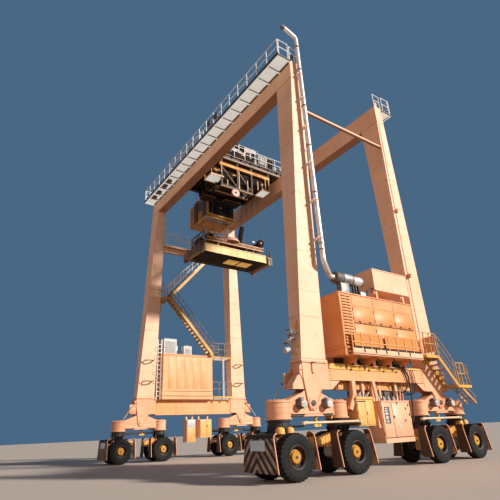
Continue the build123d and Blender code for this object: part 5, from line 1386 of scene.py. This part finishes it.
# Gear cases, drums and trays under the deck
for x0, x1, y0, y1, z0, z1 in ((-4.7, -3.95, -1.62, -0.55, 18.62, 19.3), (-4.6, -3.7, 0.15, 1.7, 18.55, 19.22),
        (-3.3, -2.3, -1.5, -0.4, 18.6, 19.12), (-3.2, -2.2, 0.3, 1.55, 18.72, 19.14),
        (-2.3, -1.62, -1.2, 1.3, 19.22, 19.84), (-5.4, -4.66, -1.35, 1.35, 19.28, 19.86)):
    black_gear.append(block(x0, x1, y0, y1, z0, z1, edge=0.03))
    orange.append(block(x0 - 0.015, x1 + 0.015, y0 - 0.015, y1 + 0.015, z0 + 0.05, z0 + 0.085))
    black_gear += [block(x1 - 0.01, x1 + 0.035, y - 0.014, y + 0.014, z0 + 0.1, z1 - 0.06)
        for y in np.arange(y0 + 0.15, y1, 0.24)]
black_gear += [lathe([(y - 0.5, 0.04), (y - 0.5, 0.3), (y - 0.44, 0.3), (y - 0.43, 0.24), (y + 0.43, 0.24),
    (y + 0.44, 0.3), (y + 0.5, 0.3), (y + 0.5, 0.04)], (x, 0, 18.82), "Y", 30)
    for x, y in ((-4.3, -0.1), (-2.75, -0.05))]
# Rope guide sheaves under the anchor blocks
for side_x in (-1, 1):
    for side_y in (-1, 1):
        x, y = trolley_x + side_x * sheave_x, side_y * sheave_y
        black_gear += [block(x + offset - 0.02, x + offset + 0.02, y - 0.2, y + 0.2, 19.35, 19.9)
            for offset in (-0.09, 0.09)]
        black_gear.append(lathe([(x - 0.06, 0.03), (x - 0.06, 0.19), (x - 0.02, 0.16), (x + 0.02, 0.16),
            (x + 0.06, 0.19), (x + 0.06, 0.03)], (0, y, 19.52), "X", 28))
        pale_bits.append(lathe([(x - 0.14, 0.05), (x + 0.14, 0.05)], (0, y, 19.52), "X", 14))
# Hoses and cable loops that sag between clips under the deck
for i, y in enumerate(np.linspace(-2.6, 2.5, 13)):
    sag = 0.32 + 0.1 * math.sin(2.1 * i)
    ropes_and_hoses.append(pipe([(-1.95, y, 19.84), (-1.9, y + 0.1, 19.84 - sag * 0.8),
        (-1.84, y + 0.22, 19.84 - sag), (-1.8, y + 0.34, 19.84 - sag * 0.7), (-1.76, y + 0.4, 19.84)], 0.022, 8,
        6))
for i, x in enumerate(np.linspace(-5.3, -2.0, 9)):
    sag = 0.42 + 0.12 * math.sin(1.7 * i)
    ropes_and_hoses.append(pipe([(x, -2.72, 19.86), (x + 0.06, -2.7, 19.86 - sag), (x + 0.2, -2.7, 19.8 - sag),
        (x + 0.33, -2.71, 19.86 - sag), (x + 0.4, -2.72, 19.86)], 0.024, 8, 6))
# Wheel housings over the rails
for side_y in (-1, 1):
    for x in (trolley_x - 2.0, trolley_x + 2.0):
        orange += [plate([(x - 0.36, 19.95), (x + 0.36, 19.95), (x + 0.26, 20.29), (x - 0.26, 20.29)], 0.02,
            plane="XZ", at=side_y * rail_y + offset - 0.01) for offset in (-0.175, 0.175)]
        black_gear.append(drum(-0.19, 0.19, 0.02, 0.07, (x, side_y * rail_y, 20.04), "Y", 20))
    black_gear += [lathe([(x - 0.1, 0.02), (x - 0.1, 0.075), (x + 0.02, 0.085), (x + 0.02, 0.02)],
        (0, side_y * rail_y, 20.12), "X", 16) for x in (trolley_x - 2.66, trolley_x + 2.66)]
make("trolley_underframe_gear", "trolley", (orange, beam_orange), (browned, browned_beam),
    (black_gear, shade_and_grease_black), (pale_bits, worn_ochre), (shelf, grating), (ropes_and_hoses, hose_rubber),
    (disc, faded_pink), slot="yellow_paint")

# ---- Hoist machinery on the deck
# Switch cabinets with doors and vents in pale enamel streaked by rain, dark low machines before them,
# and behind them a grooved rope drum with flanges, its motor's fins and a brake disc.
machine_white = plate_paint("deck_cabinet_enamel", (0.52, 0.51, 0.49), (0.34, 0.31, 0.28), soil=1.1)
coat(machine_white, "deck_machinery")
coat(rail_paint, "trolley_railing")
white, dark_m, pinkish, green, drum_bits = [], [], [], [], []
for x0, x1, y0, y1, top in ((-1.4, -0.65, 1.4, 2.75, 21.4), (-1.9, -0.7, -1.1, 1.2, 21.75)):
    white.append(block(x0 - 0.02, x1 + 0.03, y0 - 0.02, y1 + 0.02, top - 0.055, top - 0.004))
    doors = 2 if y1 - y0 < 1.6 else 3
    for door in range(doors):
        a = y0 + (y1 - y0) * door / doors + 0.03
        b = y0 + (y1 - y0) * (door + 1) / doors - 0.03
        colour = (white, pinkish, white)[door] if doors == 3 else white
        colour.append(block(x1 - 0.002, x1 + 0.022, a, b, 20.45, top - 0.1, edge=0.006))
        dark_m.append(block(x1 + 0.018, x1 + 0.04, b - 0.09, b - 0.06, 20.85, 21.05))
        dark_m += [block(x1 + 0.02, x1 + 0.028, a + 0.08, b - 0.08, z, z + 0.018, edge=0.002)
            for z in np.arange(20.52, 20.75, 0.045)]
    dark_m.append(block(x0 - 0.01, x1 + 0.012, y0 - 0.012, y1 + 0.012, 20.34, 20.42))
# Dark low machines and boxes in front of the cabinets, and cable tray along the edge
dark_m += [block(-0.67, -0.6, y0, y1, z0, z1, edge=0.012)
    for y0, y1, z0, z1 in ((-1.06, -0.62, 20.45, 20.95), (-0.32, 0.04, 21.18, 21.66), (0.18, 0.52, 20.45, 21.2),
    (0.74, 1.12, 20.85, 21.34), (-0.9, -0.5, 21.3, 21.7), (2.18, 2.7, 20.42, 21.3))]
green += [block(-0.67, -0.59, -0.58, -0.24, 20.85, 21.14, edge=0.012),
    lathe([(-2.7, 0.02), (-2.7, 0.22), (-2.66, 0.24), (-1.75, 0.24), (-1.7, 0.2), (-1.7, 0.02)],
    (-1.0, 0, 20.86), "Y", 30), block(-1.22, -0.78, -2.65, -1.8, 20.34, 20.62)]
dark_m.append(block(-0.68, -0.56, -3.0, 0.9, 20.36, 20.7, edge=0.02))
pinkish.append(block(-1.45, -0.8, -3.4, -2.85, 20.34, 21.15, edge=0.02))
white.append(lathe([(20.34, 0.02), (20.34, 0.26), (21.0, 0.26), (21.1, 0.16), (21.12, 0.02)], (-1.1, 3.15, 0),
    "Z", 28))
white += [rod((-0.62, y, 20.34), (-0.62, y, 21.75), 0.022, 8) for y in (-3.5, -1.4, 1.28, 3.6)]
white += blocks((-0.7, -0.54, 3.35, 3.85, 20.55, 20.95), (-0.7, -0.56, 1.28, 2.14, 20.56, 21.34, 0.015))
dark_m += [block(-0.56, -0.552, y - 0.012, y + 0.012, 20.62, 21.28) for y in (1.42, 1.7, 1.98)]
groove = [(-1.48, 0.3), (-1.48, 0.47), (-1.44, 0.47), (-1.44, 0.405)]
for at in np.arange(-1.35, 1.2, 0.05):
    groove += [(at, 0.405), (at + 0.015, 0.418), (at + 0.03, 0.418), (at + 0.045, 0.405)]
groove += [(1.24, 0.405), (1.24, 0.47), (1.28, 0.47), (1.28, 0.3)]
drum_bits.append(lathe(groove, (-3.9, 0, 20.95), "Y", 40))
drum_bits += [block(-3.49, -3.02, fin, fin + 0.015, 20.4, 21.02, edge=0.003)
    for fin in np.arange(1.56, 2.06, 0.06)]
drum_bits.append(drum(1.32, 1.36, 0.02, 0.34, (-3.2, 0, 21.0), "Y", 28))
make("deck_machinery_trim", "trolley", (white, machine_white), (dark_m, shade_and_grease_black), (pinkish, faded_pink),
    (green, grey_paint), (drum_bits, grey_paint), slot="grey_machine")

# ---- Operator cabin
# A cab of brown-orange panels with a wide dark glazed front in a yellow frame, a smaller side pane, a
# glazed floor, a belt of panels below and its fan coil, lamps and wiring above.
cabin_panel = plate_paint("cabin_panel_paint", (0.46, 0.2, 0.055), (0.33, 0.13, 0.035),
    grime=(0.07, 0.035, 0.018), soil=1.0)
pane = Finish("dark_cabin_glass")
# Lighter blue-grey patches on the dark glass are painted reflection.
reflect = pane.noise(1.6, 3)
pane = pane.feed(pane.mix(pane.ramp(reflect, 0.45, 0.65), (0.01, 0.011, 0.012), (0.045, 0.055, 0.065)), 0.07,
    Coat_Weight=0.4)
cabin_shell = Finish("sooty_topped_cabin_paint")
shell_dirt = cabin_shell.noise(2.4, 5)
shell_brown = cabin_shell.mix(cabin_shell.ramp(shell_dirt, 0.38, 0.7), (0.44, 0.19, 0.05), (0.26, 0.105, 0.03))
# Painted shade: above 19.2 m, between the cab and the deck, the shell is near black.
above_roof = cabin_shell.along("Z") > 19.2
cabin_shell = cabin_shell.feed(cabin_shell.mix(above_roof, shell_brown, (0.022, 0.015, 0.011)),
    0.5 + shell_dirt * 0.25, height=shell_dirt, depth=0.004, Specular_IOR_Level=0.25)
coat(cabin_shell, "operator_cabin")
panels, glass_bits, frame_bits, black_bits, lamp_bits = [], [], [], [], []
front, near_y, far_y = -4.7, -0.95, 1.55
# Glazed front on the load side
glass_bits.append(block(front - 0.01, front + 0.012, near_y + 0.12, far_y - 0.1, 17.64, 19.1, edge=0.003))
frame_bits += blocks((front - 0.01, front + 0.05, near_y + 0.04, near_y + 0.12, 17.5, 19.0),
    (front - 0.01, front + 0.06, near_y + 0.02, far_y - 0.04, 17.5, 17.62))
black_bits += blocks((front - 0.01, front + 0.045, far_y - 0.12, far_y - 0.02, 17.62, 19.16),
    (front - 0.01, front + 0.04, near_y + 0.02, far_y, 19.08, 19.18))
lamp_bits.append(block(front + 0.01, front + 0.03, 0.24, 0.36, 18.28, 18.4, edge=0.01))
black_bits += [block(front, front + 0.035, y - 0.02, y + 0.02, 17.64, 19.1) for y in (0.05, 0.75)]
# Near side: a door with a pane, a fan coil box and a dark corner
glass_bits.append(block(-6.05, -5.45, near_y - 0.012, near_y + 0.01, 18.25, 19.0, edge=0.003))
panels += blocks((-6.12, -5.38, near_y - 0.03, near_y + 0.005, 17.42, 18.18, 0.008),
    (-7.44, -6.72, near_y - 0.03, near_y + 0.005, 17.42, 19.1, 0.01))
frame_bits += blocks((-7.53, -7.44, near_y - 0.04, near_y + 0.03, 17.36, 19.2),
    (-7.5, -4.7, near_y - 0.025, near_y + 0.005, 17.36, 17.42))
black_bits += blocks((-6.68, -6.18, near_y - 0.1, near_y + 0.005, 17.5, 19.12, 0.02),
    (-5.34, -4.76, near_y - 0.02, near_y + 0.004, 17.5, 19.1, 0.01))
# Floor panes and skid bars
glass_bits.append(block(-5.5, -4.8, -0.7, 1.3, 17.335, 17.352, edge=0.003))
frame_bits += [block(-7.5, -4.68, y - 0.03, y + 0.03, 17.3, 17.36) for y in (-0.92, 1.52)]
frame_bits += [block(x - 0.03, x + 0.03, -0.95, 1.55, 17.31, 17.352) for x in (-7.46, -6.2, -5.55, -4.72)]
# Roof gear between the cabin and the deck
for x0, x1, y0, y1, z0, z1 in ((-7.3, -6.5, -0.8, 0.4, 19.2, 19.62), (-6.4, -5.85, -0.7, 1.2, 19.2, 19.78),
        (-5.5, -4.55, -0.7, -0.1, 19.32, 19.8), (-5.5, -4.55, 0.35, 1.3, 19.32, 19.72),
        (-7.2, -6.6, 0.6, 1.45, 19.2, 19.5)):
    black_bits.append(block(x0, x1, y0, y1, z0, z1, edge=0.02))
    panels.append(block(x0 + 0.1, x1 - 0.1, y0 - 0.012, y0 + 0.004, z0 + 0.06, z1 - 0.06, edge=0.004))
black_bits += [pipe([(-6.0, y, 19.75), (-5.7, y + 0.1, 19.62), (-5.3, y + 0.12, 19.68), (-5.0, y, 19.84)], 0.03,
    8, 6) for y in (-0.4, 0.3, 1.0)]
lamp_bits += [lathe([(17.22, 0.02), (17.22, 0.1), (17.26, 0.11), (17.33, 0.06), (17.33, 0.01)], (x, y, 0), "Z",
    20) for x, y in ((-4.82, -0.8), (-4.82, 1.4), (-7.3, -0.8))]
frame_bits.append(pipe([(-6.66, near_y - 0.14, 17.5), (-6.66, near_y - 0.16, 18.0),
    (-6.66, near_y - 0.16, 18.7), (-6.66, near_y - 0.14, 19.1)], 0.018, 8, 4))
make("cabin_trim", "trolley", (panels, cabin_panel), (glass_bits, pane), (frame_bits, yellow_paint),
    (black_bits, gear_dark), (lamp_bits, pale_paint), slot="dark_steel")

# ---- Headblock
# Four rope sheaves in guards on a brown frame with rails rusted orange, the basket that catches the
# power cable, a pale round cover, a stacked cable guide and a dark hose reel at the far end.
head_brown = Finish("headblock_paint")
head_dirt = head_brown.noise(3.5, 5)
across_y = head_brown.along("Y")
above = head_brown.along("Z")
brown_tone = head_brown.mix(head_brown.ramp(head_dirt, 0.35, 0.7), (0.2, 0.09, 0.035), (0.07, 0.035, 0.018))
basket_tone = head_brown.mix(head_brown.ramp(head_dirt, 0.4, 0.75), (0.2, 0.105, 0.055), (0.085, 0.045, 0.025))
basket_here = (above > 14.3) * (across_y > -1.78) * (across_y < -0.5)
sheave_here = (above > 14.172) * (1 - basket_here)
tone = head_brown.mix(basket_here, head_brown.mix(sheave_here, brown_tone, (0.1, 0.07, 0.05)), basket_tone)
head_brown = head_brown.feed(tone, 0.5 + head_dirt * 0.3, height=head_dirt, depth=0.005)
coat(head_brown, "headblock")
rusty, dark_h, pale_h, dish, brown_frame = [], [], [], [], []
for side_x in (-1, 1):
    for side_y in (-1, 1):
        x, y = trolley_x + side_x * sheave_x, side_y * sheave_y
        dark_h += [plate([(y - 0.22, 14.17), (y + 0.22, 14.17), (y + 0.12, 14.52), (y - 0.12, 14.52)], 0.02,
            at=x + offset - 0.01) for offset in (-0.125, 0.125)]
        dark_h += [lathe([(x - 0.16, 0.05), (x - 0.15, 0.07), (x + 0.15, 0.07), (x + 0.16, 0.05)],
            (0, y, 14.35), "X", 18)]
        dark_h += [collar(x + start, x + end, 0.262, 0.285, (0, y, 14.35), "X", 36)
            for start, end in ((-0.1, -0.07), (0.07, 0.1))]
        rusty += [lathe([(z, 0.1), (z + 0.02, 0.1)], (trolley_x + side_x * 1.0, side_y * 1.5, 0), "Z", 20)
            for z in (13.66, 13.93)]
for side_x in (-1, 1):
    x = trolley_x + side_x * 1.06
    rusty += blocks((x - 0.07, x + 0.07, -2.42, 2.42, 14.14, 14.2),
        (x - 0.06, x + 0.06, -2.4, 2.4, 13.92, 13.97))
    rusty += [block(x - 0.05, x + 0.052, y - 0.015, y + 0.015, 13.97, 14.14)
        for y in np.arange(-2.2, 2.3, 0.55)]
# Basket rims and spokes
bx, by = trolley_x + 0.3, -1.15
dish += [collar(14.16, 14.2, 0.6, 0.66, (bx, by, 0), "Z", 40),
    collar(14.56, 14.61, 0.36, 0.4, (bx, by, 0), "Z", 36)]
for angle in np.linspace(0, 2 * math.pi, 17)[:-1]:
    cos, sin = math.cos(angle), math.sin(angle)
    dish.append(bar((bx + 0.63 * cos, by + 0.63 * sin, 14.19), (bx + 0.39 * cos, by + 0.39 * sin, 14.59), 0.02,
        0.02))
# Round cover beside the basket, with stays that meet in a ring above it
dome = [(14.2, 0.02), (14.2, 0.7), (14.26, 0.71), (14.36, 0.66), (14.48, 0.54), (14.58, 0.36), (14.64, 0.16),
    (14.65, 0.01)]
dish.append(lathe(dome, (-2.45, -0.3, 0), "Z", 36))
pale_h += [rod((-2.45 + dx, -0.3 + dy, 14.44), (-2.47, -0.45, 15.3), 0.018, 8)
    for dx, dy in ((-0.42, -0.42), (0.42, -0.42), (-0.42, 0.42), (0.42, 0.42))]
pale_h.append(collar(15.28, 15.32, 0.035, 0.06, (-2.47, -0.45, 0), "Z", 20))
# Brown frame that stands at the near end, with crossed bars
brown_frame += [bar((x, -2.53, 13.66), (x, -2.53, 14.72), 0.09, 0.09)
    for x in (trolley_x - 0.95, trolley_x, trolley_x + 0.95)]
brown_frame += [bar((trolley_x - 0.98, -2.53, z), (trolley_x + 0.98, -2.53, z), 0.08, 0.08)
    for z in (13.95, 14.35, 14.68)]
for x0, x1 in ((trolley_x - 0.95, trolley_x), (trolley_x, trolley_x + 0.95)):
    brown_frame += [bar((x0, -2.5, 13.95), (x1, -2.5, 14.66), 0.05, 0.05),
        bar((x1, -2.56, 13.95), (x0, -2.56, 14.66), 0.05, 0.05)]
dark_h.append(block(-3.6, -2.7, -2.6, -2.3, 14.0, 14.3, edge=0.03))
# Links of the stacked cable guide on its strip, and the hose reel at the far end
reel = (-2.05, 2.13, 14.56)
dark_h.append(bar((-2.7, 0.55, 14.16), (-2.7, 0.92, 15.9), 0.03, 0.05))
for step in range(13):
    z = 14.28 + step * 0.128
    y = 0.55 + 0.37 * (z - 14.16) / 1.74
    dark_h.append(block(-2.72, -2.52, y - 0.17, y + 0.17, z, z + 0.065, edge=0.01))
dark_h += [lathe([(-0.02, 0.03), (-0.02, 0.27), (0.0, 0.29), (0.02, 0.27), (0.02, 0.03)],
    (reel[0] + side * 0.1, *reel[1:]), "X", 28) for side in (-1, 1)]
rusty += [drum(-0.09, 0.09, 0.02, 0.17, reel, "X", 24), drum(-0.13, 0.13, 0.02, 0.06, reel, "X", 16)]
pale_h += [block(-2.02, -1.94, y - 0.1, y + 0.1, 14.44, 14.58, edge=0.012) for y in (-2.08, -1.72, 1.45)]
# Cable boxes, hydraulic unit and hoses on the headblock
for x0, x1, y0, y1, z0, z1 in ((-3.7, -2.6, 0.45, 1.35, 14.17, 14.52), (-3.9, -3.4, -2.3, -1.8, 14.17, 14.42),
        (-2.9, -2.4, 1.5, 1.9, 14.17, 14.44)):
    dark_h.append(block(x0, x1, y0, y1, z0, z1, edge=0.02))
    pale_h.append(block(x0 + 0.08, x1 - 0.08, y0 + 0.06, y1 - 0.06, z1 - 0.002, z1 + 0.03, edge=0.01))
dark_h += [pipe([(-2.95, y, 14.19), (-2.8, y + 0.12, 14.34), (-2.55, y + 0.2, 14.3), (-2.35, y + 0.15, 14.12),
    (-2.2, y, 13.95), (-2.28, y - 0.05, 13.72)], 0.025, 8, 6) for y in (-0.35, -0.2, 0.0, 0.15)]
make("headblock_gear", "spreader", (rusty, beam_orange), (dark_h, shade_and_grease_black), (pale_h, pale_paint),
    (dish, faded_pink), (brown_frame, head_brown), slot="grey_machine")

# ---- Spreader and its arms
# Two deep yellow side beams with a rolled lip and weld seams, dark between them: guide boxes, chain
# tubes and slide pads; the telescopic arms end in dark cross beams with corner guides and twistlocks.
spread_paint = plate_paint("spreader_side_paint", (0.86, 0.54, 0.17), (0.82, 0.48, 0.14),
    grime=(0.22, 0.1, 0.03), soil=0.9)
# Painted light: the recessed yellow panels under the spreader glow faintly.
lit_yellow = patchy("recessed_panel_yellow", (0.88, 0.56, 0.12), (0.6, 0.34, 0.07), 3, 4, roughness=0.6,
    dulled=0.2, depth=0.0, Emission_Strength=0.22, Emission_Color=(0.8, 0.48, 0.12, 1))
arm_paint = plate_paint("spreader_arm_paint", (0.22, 0.12, 0.05), (0.11, 0.06, 0.03), grime=(0.4, 0.22, 0.08),
    soil=1.0)
coat(spread_paint, "spreader_frame")
coat(arm_paint, "near_arm", "far_arm")
side_bits, under_bits, inner_bits, panels_low, dark_s = [], [], [], [], []
low, high, reach = 13.05, 13.65, 1.1
for side_x in (-1, 1):
    x = trolley_x + side_x * (reach + 0.004)
    side_bits += [block(x - 0.02, x + 0.028, -2.6, 2.6, z - 0.03, z + 0.03) for z in (low + 0.03, high - 0.03)]
    side_bits += [block(x - 0.015, x + 0.015, y - 0.012, y + 0.012, low + 0.06, high - 0.06)
        for y in (-2.56, -1.3, 0.0, 1.3, 2.56)]
    # Near-black strips and plates on the beams' bottoms are painted shade on the underside.
    under_bits.append(block(trolley_x + side_x * 1.02 - 0.115, trolley_x + side_x * 1.02 + 0.115, -2.61, 2.61,
        low - 0.02, low - 0.001, edge=0.004))
    side_bits.append(block(x - 0.01, x + 0.012, 0.9, 1.5, low + 0.2, low + 0.42, edge=0.005))
under_bits.append(block(trolley_x - 0.88, trolley_x + 0.88, -2.48, 2.48, low + 0.016, low + 0.034, edge=0.004))
panels_low += [block(trolley_x - 0.42, trolley_x + 0.42, y0, y1, low + 0.002, low + 0.018, edge=0.004)
    for y0, y1 in ((-0.3, 0.7), (0.82, 1.8))]
under_bits += [block(trolley_x - 0.94, trolley_x + 0.94, y - 0.1, y + 0.1, low + 0.035, low + 0.058,
    edge=0.004) for y in (-2.45, -1.0, 1.0, 2.45)]
for y0, y1 in ((-2.3, -1.15), (-0.85, 0.85), (1.15, 2.3)):
    inner_bits += [block(x0, x1, y0, y1, high - 0.06, high - 0.03, edge=0.004)
        for x0, x1 in ((trolley_x - 0.92, trolley_x - 0.1), (trolley_x + 0.1, trolley_x + 0.92))]
    dark_s.append(rod((trolley_x, y0 + 0.1, low + 0.3), (trolley_x, y1 - 0.1, low + 0.3), 0.06, 16))
dark_s += [block(trolley_x - 0.16, trolley_x + 0.16, y - 0.12, y + 0.12, high - 0.3, high - 0.02, edge=0.02)
    for y in (-1.9, -0.4, 0.4, 1.9)]
make("spreader_trim", "spreader", (side_bits, spread_paint), (under_bits, shade_and_grease_black),
    (inner_bits, spread_paint), (panels_low, lit_yellow), (dark_s, gear_dark), slot="yellow_paint")
twistlock_y = 2.9265
for name, side_y in (("near", -1), ("far", 1)):
    ends, guides, pins = [], [], []
    for side_x in (-1, 1):
        x = trolley_x + side_x * 1.1295
        ends += blocks((x - 0.105, x + 0.105, side_y * 2.705, side_y * 3.045, 13.49, 13.515),
            (x - 0.1, x + 0.1, side_y * 2.71, side_y * 3.04, 12.985, 13.0))
        guides += [plate([(side_y * 2.8, 13.44), (side_y * 3.038, 13.44), (side_y * 3.038, 12.86),
            (side_y * 2.98, 12.84)], 0.03, at=x + side_x * 0.1),
            lathe([(x - side_x * 0.3, 0.02), (x - side_x * 0.3, 0.1), (x - side_x * 0.16, 0.1),
            (x - side_x * 0.15, 0.02)], (0, side_y * 2.87, 13.62), "X", 20)]
        pins += [lathe([(12.8, 0.02), (12.81, 0.05), (12.85, 0.064), (12.88, 0.064), (12.9, 0.048),
            (12.93, 0.048), (12.93, 0.02)], (x, side_y * twistlock_y, 0), "Z", 20),
            bolts([(x + dx, side_y * (twistlock_y + dy), 12.905) for dx in (-0.065, 0.065)
            for dy in (-0.085, 0.08)], 0.012, -0.014, "Z")]
    ends += [block(x - 0.012, x + 0.012, side_y * 2.715, side_y * 3.034, 13.02, 13.5)
        for x in (-3.9, -3.15, -2.4)]
    guides.append(pipe([(-2.2, side_y * 2.72, 13.46), (-2.15, side_y * 2.8, 13.72), (-2.2, side_y * 2.95, 13.8),
        (-2.3, side_y * 3.03, 13.62), (-2.3, side_y * 3.04, 13.4)], 0.03, 8, 8))
    if name == "far":
        loop = [(-2.12, 2.72, 13.5), (-2.1, 2.78, 14.05), (-2.1, 2.9, 14.22), (-2.08, 3.02, 13.95),
            (-2.06, 3.03, 13.4)]
        guides.append(pipe(loop, 0.045, 10, 8))
    make(f"{name}_arm_trim", f"{name}_spreader_arm", (ends, arm_paint), (guides, gear_dark), (pins, rail_steel),
        slot="yellow_paint")

# ---- Hoist ropes
# Eight falls of greased steel rope run from the trolley's sheaves down to those of the headblock,
# dark and slightly shining, with a fine slanting lay.
rope_steel = Finish("greased_rope")
lay = (rope_steel.along("Z") + rope_steel.along("Y") * 2.0).maths("PINGPONG", 0.02)
grease = rope_steel.noise(5, 3)
rope_steel = rope_steel.feed(rope_steel.mix(grease, (0.035, 0.03, 0.028), (0.1, 0.085, 0.075)),
    0.4 + grease * 0.3, 0.4, height=lay, depth=0.004)
coat(rope_steel, "hoist_ropes")
